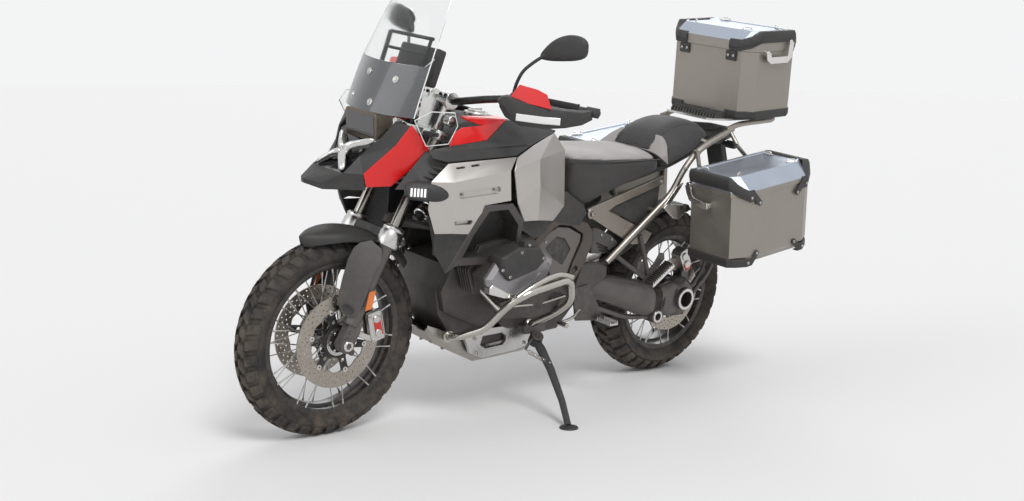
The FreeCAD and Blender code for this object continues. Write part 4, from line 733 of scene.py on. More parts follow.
for side in (1, -1):
    at = bar_bend + grip_way * 22
    box = [at + grip_way * a + UP * b + AHEAD * c for a, b, c in ((-17, -22, -19), (19, -22, -19), (19, -24,
        16), (-17, -24, 16), (-15, 21, -17), (17, 21, -17), (17, 20, 13), (-15, 20, 13))]
    block = (box, [(0, 1, 2, 3), (7, 6, 5, 4), (0, 4, 5, 1), (1, 5, 6, 2), (2, 6, 7, 3), (3, 7, 4, 0)])
    keys = [bar(at + grip_way * a + UP * b - AHEAD * 15, at + grip_way * a + UP * b - AHEAD * 22, 4.2, 12) for
        a, b in ((-8, 10), (4, 10), (-8, -2), (4, -2), (-2, -13))]
    lever = tube([at + AHEAD * 12 + UP * 4, at + AHEAD * 44 + grip_way * 20 + UP * 2, at + AHEAD * 50 +
        grip_way * 90, at + AHEAD * 44 + grip_way * 158 - UP * 3], 6.5, 26, 12, (8.5, 5.0), 0.62)
    perch = bar(at + AHEAD * 6, at + AHEAD * 22 + UP * 3, 11, 16)
    pot = turned([(2, 0), (17, 0), (18, 3), (18, 20), (20, 21), (20, 26), (3, 27)], at + AHEAD * 30 - grip_way
        * 24 + UP * 6, UP, 24, False)
    chunk = [block, perch, pot] + keys + [lever]
    blocks += chunk if side > 0 else [flipped(one) for one in chunk]
made("switches_and_levers", blocks, switch_black, "bar_black", "steering", bevel=2.2, steps=2)

# ------------------------------------------------------------------ hand guards
# A dark moulded guard is bolted to the bar and to its end on each side.  A white lamp strip is let
# into its face, and a gloss red wing is screwed to its upper edge.
moulded = finish("moulded_black", (0.03, 0.0295, 0.029), 0.58, shade=0.12, grain=1300.0, relief=0.00035,
    bare=(0.12, 0.115, 0.11), wear=0.45, dust=0.14, dust_top=1.0)
guard_rail = [(352, 270, 1104, 1142), (350, 296, 1078, 1150), (334, 345, 1060, 1142), (290, 414, 1058, 1130),
    (238, 454, 1066, 1126), (188, 478, 1078, 1124), (152, 484, 1094, 1128)]
shell = []
for x, y, low, high in guard_rail:
    mid = (low + high) / 2.0
    shell.append([(x + ahead, y + out, z) for ahead, out, z in ((-14, -9, low), (-2, 0, low + 5), (4, 3, mid),
        (-2, 0, high - 5), (-14, -9, high), (-22, -14, high), (-10, -7, mid), (-22, -14, low))])
cap = bar(bar_end - grip_way * 2, bar_end + grip_way * 40, 16, 28)
arm = tube([(352, 276, 1126), (340, 262, 1130), (300, 236, 1126)], 9, 20, 12)
bolt_end = bolt(bar_end + grip_way * 40, grip_way, 9, 4)
made("hand_guard_shells", pair([lofted(shell), cap, arm, bolt_end]), moulded, "dark_plastic", "steering",
    bevel=2.0, replaces=["hand_guards"])
strip = []
for x, y, low, high in guard_rail[2:5]:
    strip.append([Vector((x + ahead, y + out, z)) for ahead, out, z in ((3.5, 3, 1076), (5.5, 4, 1079), (5.5,
        4, 1097), (3.5, 3, 1100))])
strip[0] = [v + Vector((3, -5, 0)) for v in strip[0]]
strip[-1] = [v + Vector((8, -7, 0)) for v in strip[-1]]
lamp_white = finish("lamp_white", (0.78, 0.78, 0.76), 0.18, shade=0.03, relief=0.0, coat=0.6)
made("guard_lamp_strips", pair([lofted(strip)]), lamp_white, "satin_aluminium", "steering", bevel=0.8)
gloss_red = finish("gloss_red", (0.72, 0.005, 0.004), 0.36, shade=0.05, relief=0.00008, grain=180.0,
    coat=0.35, Coat_Roughness=0.1, rough_play=0.03)
wing = [(338, 296, 1138), (322, 325, 1187), (300, 386, 1180), (284, 415, 1168), (278, 434, 1124), (310, 380,
    1132)]
made("guard_wings", pair([slab(wing, (-5, -4, 0))]), gloss_red, "red_paint", "steering", bevel=1.8)

# ------------------------------------------------------------------ mirrors
# Teardrop mirror heads on bent black stalks, screwed into the clutch and brake perches.
mirror_foot = (296, 268, 1132)
stalk = tube([mirror_foot, (298, 280, 1180), (292, 300, 1226), (270, 332, 1262), (250, 366, 1290)], 5.5, 26,
    12)
boot = turned([(14, 0), (13, 10), (8, 18), (6, 22)], mirror_foot, (2, 12, 48), 20, False)


def mirror_ring(x, y, z, wide, high):
    """A rounded cross section of the mirror head."""
    return [(x + wide * cos(a) * abs(cos(a)) ** -0.35, y, z + high * sin(a) * abs(sin(a)) ** -0.35) for a in
        turns(16, 0.5)]


head = lofted([mirror_ring(252, 334, 1276, 6, 7), mirror_ring(246, 352, 1286, 14, 20), mirror_ring(241, 384,
    1302, 20, 35), mirror_ring(236, 432, 1316, 21, 43), mirror_ring(231, 480, 1321, 19, 40), mirror_ring(228,
    505, 1321, 15, 29), mirror_ring(226, 514, 1320, 7, 15)])
made("mirror_heads", pair([stalk, boot]), switch_black, "bar_black", "steering", replaces=["mirrors"])
made("mirror_shells", pair([head]), moulded, "bar_black", "steering", soft=2)
face_line = [(213.5 - 4 * cos(a), 433 + 66 * cos(a), 1315 + 33 * sin(a)) for a in turns(28)]
mirror_glass = finish("mirror_glass", (0.8, 0.81, 0.83), 0.05, metal=1.0, shade=0.01, relief=0.0)
made("mirror_glasses", pair([slab(face_line, (4, 0, 0))]), mirror_glass, "tube_steel", "steering", bevel=0.8)

# ------------------------------------------------------------------ front mudguard and leg guards
# A black moulding arches close over the front tyre.  A grey moulded guard covers each leg, with an
# oval recess at its foot and an amber reflector on its outer face.


def arch(centre, stations, section):
    """Rows of points over a wheel: at each angle, a radius scale and a width scale."""
    rows = []
    for angle, lift, widen in stations:
        a = radians(angle)
        out = Vector((cos(a), 0, sin(a)))
        rows.append([centre + out * (r + lift) + LEFT * (y * widen) for r, y in section])
    return rows


def grid(rows):
    """An open sheet through rows of points."""
    n = len(rows[0])
    verts = [Vector(p) for row in rows for p in row]
    faces = [(i * n + j, i * n + j + 1, (i + 1) * n + j + 1, (i + 1) * n + j) for i in range(len(rows) - 1)
        for j in range(n - 1)]
    return verts, faces


def thickened(piece, thick):
    """The sheet of a piece given its thickness."""
    plump = piece.modifiers.new("thickness", "SOLIDIFY")
    plump.thickness, plump.offset = thick / 1000.0, -1.0
    plump.use_even_offset = True
    while piece.modifiers.find("thickness") > 0:
        with bpy.context.temp_override(object=piece):
            bpy.ops.object.modifier_move_up(modifier="thickness")
    return piece


grey_moulding = finish("grey_moulding", (0.062, 0.058, 0.056), 0.5, shade=0.08, grain=1200.0, relief=0.00025,
    bare=(0.16, 0.15, 0.14), wear=0.4, dust=0.22, dust_top=1.0)
fender_section = [(326, 77), (334, 77.5), (347, 74), (357, 62), (363, 42), (366, 18), (366.5, 0), (366, -18),
    (363, -42), (357, -62), (347, -74), (334, -77.5), (326, -77)]
fender_stations = [(69.5, -2, 0.05), (71, -1, 0.26), (74, 0, 0.5), (78, 1, 0.72), (83, 1, 0.88), (90, 2, 1.0),
    (98, 2, 1.0), (108, 2, 1.0), (118, 2, 1.0), (128, 2, 0.98), (136, 0, 0.9), (139, -2, 0.8)]
fender = made("mudguard_arch", [grid(arch(FRONT_AXLE, fender_stations, fender_section))], moulded,
    "grey_plastic", "steering", soft=2, replaces=["front_fender"])
thickened(fender, 4.0)
guard_face = [(792, 80, 470), (782, 92, 436), (764, 116, 420), (750, 138, 432), (730, 143, 480), (700, 143,
    560), (672, 142, 606), (664, 128, 640), (686, 98, 664), (716, 80, 656), (736, 76, 640), (756, 76, 606),
    (774, 78, 548)]
guard_face += [(756, 116, 480), (738, 116, 540), (716, 114, 590), (696, 110, 634)]
guard_facets = [(0, 1, 2, 13), (2, 3, 4, 13), (4, 5, 14, 13), (5, 6, 15, 14), (6, 7, 16, 15), (7, 8, 16), (8,
    9, 16), (9, 10, 15, 16), (10, 11, 15), (11, 12, 14, 15), (12, 0, 13, 14)]
leg_guards = made("leg_guards", pair([(guard_face, guard_facets)]), grey_moulding, "grey_plastic", "steering",
    bevel=5.0, steps=3, smooth=70)
thickened(leg_guards, 4.5)
ovals = []
for k, (wide, high) in enumerate(((19, 12.5), (13, 7))):
    ovals.append([Vector((768 - 0.62 * wide * cos(a), 112 + 0.78 * wide * cos(a), 449 + high * sin(a) - 6 *
        cos(a))) + STEER_AHEAD * (3.4 if k == 0 else 0.8) for a in turns(24)])
oval = (ovals[0] + ovals[1], [(i, (i + 1) % 24, 24 + (i + 1) % 24, 24 + i) for i in range(24)] +
    [list(range(24, 48))])
made("guard_recesses", pair([oval]), moulded, "dark_plastic", "steering")
amber = finish("amber_reflector", (0.75, 0.17, 0.012), 0.22, shade=0.08, grain=500.0, relief=0.0004, coat=0.8)
reflector = slab([(716, 144.5, 508), (692, 144.5, 512), (704, 144.5, 452), (728, 144.5, 448)], (0, 5, 0))
made("amber_reflectors", pair([reflector]), amber, "dark_plastic", "steering", bevel=1.6)

# ------------------------------------------------------------------ front brake calipers
# Four-piston radial calipers in bright alloy, bolted behind each leg, with a plain red panel.
caliper_at = Vector((640, 0, 372))
lean = Matrix.Rotation(radians(14), 4, "Y")


def set_at(shape, turn, at):
    """A shape turned about the origin and put in place."""
    return [turn @ Vector(v) + Vector(at) for v in shape[0]], shape[1]


half_line = [(-24, -50), (24, -50), (27, -40), (27, 40), (24, 50), (-20, 50), (-27, 38), (-27, -38)]
halves = [prism(half_line, 10, 27), prism(half_line, -16, -5.4), prism([(-29, -38), (-20.5, -38), (-20.5, 38),
    (-29, 38)], -16, 27)]
lumps = [turned([(0.5, 4), (11, 4), (13, 2), (13, -2)], (-4, 27, z), LEFT, 24, False) for z in (-24, 24)]
ends = [bolt((20, 27, z), LEFT, 5, 5) for z in (-40, 40)]
mount = web([(26, -34, 9), (60, -10, 9)], 12, 24)
lug = [set_at(one, lean, caliper_at + LEFT * 67) for one in halves + lumps + ends + [mount]]
made("caliper_bodies", pair(lug), satin_alloy, "satin_aluminium", "steering", bevel=2.2,
    replaces=["front_calipers"])
patch = slab([(-21, 27, -33), (8, 27, -33), (9, 27, 33), (-17, 27, 33)], (0, 1.6, 0))
caliper_red = finish("caliper_red", (0.55, 0.02, 0.015), 0.35, shade=0.05, relief=0.0001, coat=0.4)
made("caliper_panels", pair([set_at(patch, lean, caliper_at + LEFT * 67)]), caliper_red, "satin_aluminium",
    "steering", bevel=0.6)

# ------------------------------------------------------------------ tank side panels
# Each side of the tank wears two pressed light-alloy panels with a shadow gap between them.  The
# front one has crisp shoulders, two vents and two sunk channels; the rear one folds about a crease.


def skin(points, faces, thick, out=(0, 1, 0.2)):
    """A sheet of flat facets made solid: its face, its back a thickness behind, and its rim."""
    points, out = [Vector(p) for p in points], Vector(out)
    normals = [Vector((0, 0, 0)) for p in points]
    wound, edges = [], set()
    for face in faces:
        normal = Vector((0, 0, 0))
        for i, k in enumerate(face):
            normal += points[k].cross(points[face[(i + 1) % len(face)]])
        if normal.dot(out) < 0:
            face, normal = list(reversed(face)), -normal
        wound.append(list(face))
        for i, k in enumerate(face):
            normals[k] += normal
            edges.add((k, face[(i + 1) % len(face)]))
    n = len(points)
    back = [p - normal.normalized() * thick for p, normal in zip(points, normals)]
    solid = wound + [[n + k for k in reversed(face)] for face in wound]
    solid += [(b, a, n + a, n + b) for a, b in sorted(edges) if (b, a) not in edges]
    return points + back, solid


def pill(a, b, radius, out, into, proud=8.0, steps=8):
    """A plug with round ends between two points, from some way into a face to proud of it."""
    a, b, out = Vector(a), Vector(b), Vector(out).normalized()
    along = (b - a).normalized()
    up = out.cross(along)
    line = []
    for at, start in ((b, -pi / 2), (a, pi / 2)):
        for i in range(steps + 1):
            t = start + pi * i / steps
            line.append(at + along * radius * cos(t) + up * radius * sin(t) - out * into)
    return slab(line, out * (into + proud))


def carved(piece, shapes, smooth=40.0):
    """Shapes cut out of a piece before its edges are rounded."""
    cutter = bpy.data.objects.new("cutter", parked("cutter", shapes))
    scene.collection.objects.link(cutter)
    cut = piece.modifiers.new("cut", "BOOLEAN")
    cut.operation, cut.object, cut.solver = "DIFFERENCE", cutter, "EXACT"
    piece.modifiers.move(len(piece.modifiers) - 1, 0)
    with bpy.context.temp_override(object=piece, active_object=piece, selected_objects=[piece]):
        bpy.ops.object.modifier_apply(modifier="cut")
    bpy.data.objects.remove(cutter)
    piece.data.polygons.foreach_set("use_smooth", [True] * len(piece.data.polygons))
    piece.data.set_sharp_from_angle(angle=radians(smooth))
    return piece


silver_paint = finish("silver_paint", (0.5, 0.475, 0.445), 0.34, metal=0.75, shade=0.05, relief=0.00005,
    grain=2400.0, coat=0.35, Coat_Roughness=0.12, rough_play=0.06)
front_points = [(531, 262, 933), (589, 258, 878), (594, 258, 789), (566, 264, 712), (446, 284, 706), (385,
    296, 800), (290, 299, 808), (304, 301, 906), (268, 283, 946), (531, 295, 880), (519, 291, 715), (420, 296,
    760)]
front_faces = [(0, 9, 7, 8), (0, 1, 9), (1, 2, 10, 9), (2, 3, 10), (9, 10, 4, 11, 5), (9, 5, 6, 7)]
front_panel = skin(front_points, front_faces, 9)
slots = [pill((504, 276, 922), (476, 276, 923), 3.2, (0, 0.8, 0.6), 14), pill((446, 276, 925), (420, 276,
    926), 3.2, (0, 0.8, 0.6), 14)]
channels, pans = [], []
for start, end, radius in (((494, 296, 838), (350, 299, 846), 12), ((506, 292, 748), (448, 288, 747), 7)):
    channels.append(pill(start, end, radius, (0, 1, 0), 16))
    pans.append(pill(start, end, radius + 4, (0, 1, 0), 13, -9))
silver_front = made("silver_front_panels", pair([front_panel]), silver_paint, "silver_paint", bevel=3.5,
    steps=3, replaces=["silver_panels"])
carved(silver_front, pair(slots + channels))
made("channel_floors", pair(pans), silver_paint, "silver_paint", bevel=1.0)
rear_points = [(262, 282, 946), (180, 254, 972), (26, 190, 1001), (-34, 188, 940), (-46, 198, 745), (14, 212,
    699), (137, 268, 722), (193, 262, 722), (250, 290, 790), (284, 298, 905), (166, 282, 934), (160, 290,
    850)]
rear_faces = [(0, 9, 10, 1), (1, 10, 2), (10, 3, 2), (10, 11, 4, 3), (11, 6, 5, 4), (9, 8, 11, 10), (8, 7, 6,
    11)]
rear_panel = skin(rear_points, rear_faces, 7)
made("silver_rear_panels", pair([rear_panel]), silver_paint, "silver_paint", bevel=5.0, steps=3, smooth=12,
    limit=10)
screw_steel = finish("screw_steel", (0.5, 0.49, 0.47), 0.3, metal=1.0, shade=0.05, relief=0.00005)
made("panel_screws", pair([bolt((488, 292, 838), LEFT, 5, 3), bolt((357, 295, 846), LEFT, 5, 3), bolt((500,
    287, 748), LEFT, 3.5, 2)]), screw_steel, "tube_steel")

# ------------------------------------------------------------------ air ducts and black trim
# Black mouldings fill the tank sides: a V-shaped duct below the silver panels with a grey lip, a
# long shoulder above them, and a stack of thin louvres behind the nose.
duct_outer = [(395, 300, 799), (268, 288, 793), (193, 262, 726), (188, 250, 672), (186, 240, 636), (300, 243,
    583), (452, 247, 592), (490, 242, 571), (446, 286, 704)]
duct_inner = [(373, 294, 776), (284, 284, 774), (216, 262, 712), (210, 252, 676), (206, 246, 650), (304, 246,
    612), (420, 248, 618), (434, 250, 618), (416, 278, 700)]
sides = len(duct_outer)
deep = [(x * 0.9 + 32, y - 62, z * 0.96 + 30) for x, y, z in duct_inner]
lip = skin(duct_outer + duct_inner, [(i, (i + 1) % sides, sides + (i + 1) % sides, sides + i) for i in
    range(sides)], 8)
funnel = skin(duct_inner + deep, [(i, (i + 1) % sides, sides + (i + 1) % sides, sides + i) for i in
    range(sides)], 2, (0, 1, 0))
floor_sheet = skin(deep, [list(range(sides))], 4)
made("duct_lips", pair([lip]), grey_moulding, "dark_plastic", bevel=2.5, steps=3, replaces=["side_shrouds"])
cheek = skin([(566, 262, 714), (446, 280, 706), (488, 240, 568), (540, 236, 640), (592, 252, 775)], [(0, 1, 2,
    3), (0, 3, 4)], 6)
flap = skin([(196, 250, 730), (107, 232, 722), (14, 208, 702), (50, 216, 668), (112, 234, 650), (186, 248,
    690)], [(0, 1, 4, 5), (1, 2, 3, 4)], 6)
made("duct_mouldings", pair([funnel, floor_sheet, cheek, flap]), moulded, "dark_plastic", bevel=1.5)
shoulder = skin([(583, 224, 972), (483, 205, 977), (338, 212, 992), (228, 168, 1046), (150, 160, 1044), (8,
    178, 1006), (26, 190, 1003), (180, 250, 975), (262, 278, 950), (531, 258, 938), (576, 240, 948), (560,
    238, 966), (208, 250, 978)], [(0, 1, 12, 11), (1, 2, 12), (2, 3, 12), (3, 4, 5, 12), (5, 6, 7, 12), (12,
    7, 8, 11), (11, 8, 9, 10), (0, 11, 10)], 6, (0, 1, 1))
made("tank_shoulders", pair([shoulder]), moulded, "dark_plastic", bevel=3.0, steps=3)
slats = []
for t in (i / 6 for i in range(7)):
    inner = Vector((562, 176, 956)).lerp(Vector((640, 132, 858)), t)
    outer = Vector((520, 252, 944)).lerp(Vector((600, 250, 862)), t)
    slats.append(slab([inner, outer, outer + Vector((-14, -14, -5)), inner + Vector((-14, -14, -5))], (3, 1,
        -4)))
backing = skin([(570, 190, 962), (655, 160, 838), (590, 238, 850), (505, 240, 940)], [(0, 1, 2, 3)], 3)
made("nose_louvres", pair(slats + [backing]), moulded, "dark_plastic", bevel=0.9)

# ------------------------------------------------------------------ red panels
# Gloss red injection-moulded panels: one on each side of the nose, and a forked one on the tank.
nose_red = skin([(622, 180, 1043), (572, 192, 988), (550, 192, 955), (652, 138, 843), (729, 113, 839), (744,
    112, 882), (656, 152, 976), (600, 182, 958)], [(0, 1, 6), (1, 2, 7), (1, 7, 6), (2, 3, 7), (7, 3, 6), (6,
    3, 5), (3, 4, 5)], 5)
tank_red = skin([(483, 200, 974), (338, 212, 992), (226, 168, 1048), (226, 122, 1053), (402, 144, 1062), (384,
    153, 1051), (322, 166, 1031), (410, 168, 1028), (456, 184, 1014)], [(0, 1, 7, 8), (1, 2, 6, 7), (2, 5, 6),
    (2, 3, 4, 5)], 6, (0, 1, 0.6))
made("red_fairings", pair([nose_red, tank_red]), gloss_red, "red_paint", bevel=3.0, steps=3,
    replaces=["red_panels"])

# ------------------------------------------------------------------ nose, headlight and radar
# A black beak carries the cross-shaped headlight, whose alloy arms stand before black lenses.  The
# radar unit sits above it behind a dark glass face in a bronze frame.
beak_points = [(894, 0, 856), (862, 56, 851), (858, 60, 836), (886, 0, 846), (744, 110, 882), (726, 104, 832),
    (656, 150, 976), (622, 176, 1040), (640, 120, 1046), (688, 118, 996), (800, 84, 884), (806, 0, 884), (700,
    0, 826), (734, 72, 931)]
beak_faces = [(0, 1, 10, 11), (0, 3, 2, 1), (1, 2, 5, 4), (1, 4, 10), (10, 4, 13), (4, 6, 13), (13, 6, 9), (6,
    7, 8, 9), (2, 3, 12, 5)]
beak = skin(beak_points, beak_faces, 5, (0.5, 0.5, 0.6))
made("beak", pair([beak]), moulded, "dark_plastic", bevel=2.5, steps=3, replaces=["nose"])
lens_black = finish("lamp_lens", (0.012, 0.012, 0.014), 0.08, shade=0.02, relief=0.0, coat=1.0,
    Coat_Roughness=0.03)
lens = [slab([(800, 84, 878), (806, 0, 878), (716, 0, 925), (734, 72, 925)], (-12, 0, -16)), slab([(734, 72,
    925), (716, 0, 925), (640, 0, 1006), (640, 112, 1020), (688, 118, 990)], (-12, 0, -16))]
made("headlight_lenses", pair(lens), lens_black, "dark_plastic", bevel=1.5)
arms = []
for y in (1, -1):
    middle = Vector((742, 0, 934))
    for tip, wide in (((684, 95 * y, 982), 17), ((797, 72 * y, 886), 15)):
        tip = Vector(tip)
        arms.append(tube([middle, middle.lerp(tip, 0.35) + Vector((7, 0, 6)), tip], 13, 12, 16, (23.0, wide),
            0.62))
hub = turned([(0.1, 13), (12, 12), (17, 6), (18, 0), (16, -8)], (745, 0, 936), (0.66, 0, 0.75), 24, False)
made("headlight_cross", arms + [hub], polished_cast, "lamp_silver", soft=1, replaces=["headlight"])
bronze_frame = finish("bronze_frame", (0.15, 0.125, 0.1), 0.38, metal=0.7, shade=0.06, relief=0.0001)


def rounded_box(low, high, radius, taper=1.0, steps=5):
    """A box along x with rounded corners in y and z, narrower at its low end by the taper."""
    (x0, y0, z0), (x1, y1, z1) = low, high
    rings = []
    for x, k in ((x0, taper), (x1, 1.0)):
        cy, cz, hy, hz = (y0 + y1) / 2, (z0 + z1) / 2, (y1 - y0) / 2 * k, (z1 - z0) / 2 * k
        line = []
        for sy, sz, start in ((1, 1, 0), (-1, 1, 90), (-1, -1, 180), (1, -1, 270)):
            for i in range(steps + 1):
                a = radians(start + 90 * i / steps)
                line.append((x, cy + sy * (hy - radius) + radius * cos(a), cz + sz * (hz - radius) + radius *
                    sin(a)))
        rings.append(line)
    return lofted(rings)


radar = rounded_box((-72, -84, -46), (0, 84, 47), 14, taper=0.9)
radar_glass = rounded_box((-4, -73, -32), (2, 73, 37), 10)
for name, one, paint in (("radar_housing", radar, bronze_frame), ("radar_window", radar_glass, lens_black)):
    made(name, [set_at(one, Matrix.Rotation(radians(6), 4, "Y"), (686, 0, 1018))], paint, "dark_plastic",
        bevel=3.0, steps=3)

# ------------------------------------------------------------------ auxiliary lamps
# A black capsule lamp on each side, its lens split into five upright white bars.
lamp_way, lamp_out = Vector((-0.82, 0.55, 0)).normalized(), Vector((0.55, 0.82, 0)).normalized()
lamp_rings = []
for at, wide, high in (((652, 204, 846), 9, 14), ((646, 209, 846), 17, 25), ((630, 221, 846), 23, 31), ((585,
        250, 844), 25, 33), ((556, 266, 841), 21, 28), ((538, 277, 839), 13, 18), ((528, 283, 838), 4, 6)):
    lamp_rings.append([Vector(at) + lamp_out * wide * cos(a) + UP * high * sin(a) for a in turns(16)])
made("lamp_housings", pair([lofted(lamp_rings)]), switch_black, "dark_plastic", soft=1,
    replaces=["auxiliary_lamps"])
face_at = Vector((612, 233, 845)) + lamp_out * 19
bezel = [slab([face_at + lamp_way * a + UP * b for a, b in ((-36, -16), (22, -20), (26, 0), (22, 20), (-36,
    16), (-40, 0))], lamp_out * 5)]
made("lamp_bezels", pair(bezel), lens_black, "dark_plastic", bevel=1.5)
bars_white = []
for i in range(5):
    at = face_at + lamp_way * (-31 + 10.5 * i) + lamp_out * 5
    bars_white.append(slab([at + lamp_way * a + UP * b for a, b in ((0, -13), (6.5, -13.6), (6.5, 13.6), (0,
        13))], lamp_out * 2.5))
glow_white = finish("lamp_bar_white", (0.85, 0.85, 0.83), 0.2, shade=0.02, relief=0.0, Emission_Color=(1,
    0.98, 0.94, 1), Emission_Strength=0.35)
made("lamp_bars", pair(bars_white), glow_white, "lamp_silver", bevel=1.2)

# ------------------------------------------------------------------ windscreen
# One tall bowed sheet of clear acrylic, smoked in its lower third, held by four screws.  Two small
# clear deflectors stand beside the tank.  Pale tubes along their cut edges and one streak across the
# screen are painted highlights, where the edges and the sheet catch the light.
clear_screen = finish("clear_screen", (0.93, 0.95, 0.94), 0.03, shade=0.01, relief=0.0,
    Transmission_Weight=1.0, IOR=1.2)
smoked = finish("smoked_screen", (0.075, 0.076, 0.08), 0.22, shade=0.05, relief=0.0, coat=0.7,
    Coat_Roughness=0.04)
screen_rows = [(1064, 618, 690, 184), (1110, 604, 672, 183), (1160, 587, 650, 181), (1220, 566, 624, 178),
    (1290, 537, 592, 169), (1360, 507, 558, 158), (1420, 478, 526, 146), (1468, 456, 498, 122), (1500, 442,
    478, 84)]


def bowed(rows, columns=16, inner=0.0):
    """The bowed sheet of the screen, moved back by a distance."""
    lines = []
    for z, edge, middle, half in rows:
        lines.append([Vector((middle - (middle - edge) * (2 * j / columns - 1) ** 2 - inner, half * (2 * j /
            columns - 1), z)) for j in range(columns + 1)])
    return lines


def sheet_between(rows, thick):
    """A closed sheet of the screen's bow, with its thickness."""
    front, back = bowed(rows), bowed(rows, inner=thick)
    n, m = len(front), len(front[0])
    verts = [p for line in front for p in line] + [p for line in back for p in line]
    faces = []
    for i in range(n - 1):
        for j in range(m - 1):
            a = i * m + j
            faces += [(a, a + 1, a + m + 1, a + m), (a + n * m, a + n * m + m, a + n * m + m + 1, a + n * m +
                1)]
    rim = [j for j in range(m)] + [i * m + m - 1 for i in range(1, n)] + [(n - 1) * m + j for j in range(m -
        2, -1, -1)] + [i * m for i in range(n - 2, 0, -1)]
    faces += [(rim[i], rim[(i + 1) % len(rim)], n * m + rim[(i + 1) % len(rim)], n * m + rim[i]) for i in
        range(len(rim))]
    return verts, faces


made("clear_screen_sheet", [sheet_between(screen_rows[3:], 3.6)], clear_screen, "clear_screen",
    replaces=["windscreen"])
made("smoked_screen_foot", [sheet_between(screen_rows[:4], 3.6)], smoked, "clear_screen")
# Pale tubes along the cut edges of the screen and deflectors stand for the light they catch: painted
# highlights.
painted_edge_glint = finish("painted_cut_edge_highlight", (0.86, 0.87, 0.86), 0.15, shade=0.02, relief=0.0, coat=1.0)
edge_line = [bowed(screen_rows)[i][0] for i in
    range(9)] + bowed(screen_rows)[8][1:] + [bowed(screen_rows)[i][-1] for i in range(7, -1, -1)]
deflect = [(632, 206, 1062), (588, 230, 1092), (503, 240, 1088), (486, 238, 1046), (510, 228, 988), (580, 205,
    980)]
middle = Vector((550, 222, 1040))
deflector_face = skin(deflect + [middle], [(i, (i + 1) % 6, 6) for i in range(6)], 3.5)
made("screen_deflectors", pair([deflector_face]), clear_screen, "clear_screen")
# The second tube, across the face of the screen, is a painted highlight streak.
made("painted_edge_highlights", [tube(edge_line, 2.0, 0, 8), tube([(664, 28, 1098), (640, 78, 1128), (600, 128, 1176), (545,
    172, 1246)], 1.6, 20, 8)] + pair([tube(deflect + deflect[:1], 1.6, 0, 6)]), painted_edge_glint, "clear_screen")
knobs = []
for y, x, z in ((90, 612, 1172), (28, 664, 1093), (-35, 640, 1181), (-90, 652, 1098)):
    bow = max(p.x for line in bowed([(z, 618 - (z - 1064) * 0.333, 690 - (z - 1064) * 0.423, 182)]) for p in
        line if abs(p.y - y) < 14)
    knobs.append(turned([(0.1, 5), (6, 5.5), (7, 3), (10, 3), (12, 1.5), (12, -1)], (bow, y, z), (0.92, y /
        400, 0.32), 20, False))
made("screen_screws", knobs, screw_steel, "tube_steel")
made("deflector_posts", pair([bar((548, 150, 1012), (548, 216, 1016), 8, 20)]), switch_black, "dark_plastic",
    bevel=1)

# ------------------------------------------------------------------ screen bracket and display
# Thin black tubes rise behind the screen to a cross tube for a navigation unit, and hold the
# rider's flat display in its hood.
stays = pair([tube([(566, 100, 1036), (560, 104, 1150), (512, 108, 1302)], 8, 40, 12, flat=0.7)])
cross = [bar((508, -112, 1300), (508, 112, 1300), 6, 24), bar((520, -100, 1250), (520, 100, 1250), 5, 16),
    bar((560, -100, 1130), (560, 100, 1130), 6, 16)]
display_turn = Matrix.Rotation(radians(-18), 4, "Y")
hood, glass_pane = (set_at(one, display_turn, (474, 0, 1205)) for one in (rounded_box((-13, -104, -62), (13,
    104, 62), 10), rounded_box((-16, -96, -54), (-13, 96, 54), 6)))
stem_block = slab([(470, -30, 1180), (470, 30, 1180), (556, 24, 1140), (556, -24, 1140)], (0, 0, 36))
made("screen_frame", stays + cross + [stem_block], switch_black, "dark_plastic", bevel=2.0,
    replaces=["screen_bracket"])
made("display_hood", [hood], moulded, "dark_plastic", bevel=3.0, steps=3)
made("display_glass", [glass_pane], lens_black, "dark_plastic", bevel=1.0)

# ------------------------------------------------------------------ rider's seat
# Moulded foam under black vinyl along the sides and pale grey vinyl on top.  The two covers meet
# in a piped seam, and a pale riser with a wide grab slot closes the seat's rear end.
grain_vinyl = finish("seat_vinyl", (0.032, 0.03, 0.029), 0.62, shade=0.1, grain=2600.0, relief=0.00035,
    Sheen_Weight=0.15, dust=0.12)
pale_vinyl = finish("pale_vinyl", (0.36, 0.34, 0.325), 0.6, shade=0.05, grain=2800.0, relief=0.0003)
weave_vinyl = finish("passenger_vinyl", (0.036, 0.034, 0.035), 0.68, shade=0.1, grain=3400.0, relief=0.0004,
    Sheen_Weight=0.2, dust=0.1)


def mirrored_rings(table):
    """Closed rings across the machine from the left half of each, top middle to bottom middle."""
    rings = []
    for x, half in table:
        line = [Vector((x + (p[2] if len(p) > 2 else 0), p[0], p[1])) for p in half]
        rings.append(line + [Vector((p.x, -p.y, p.z)) for p in reversed(line) if p.y > 0.5])
    return rings


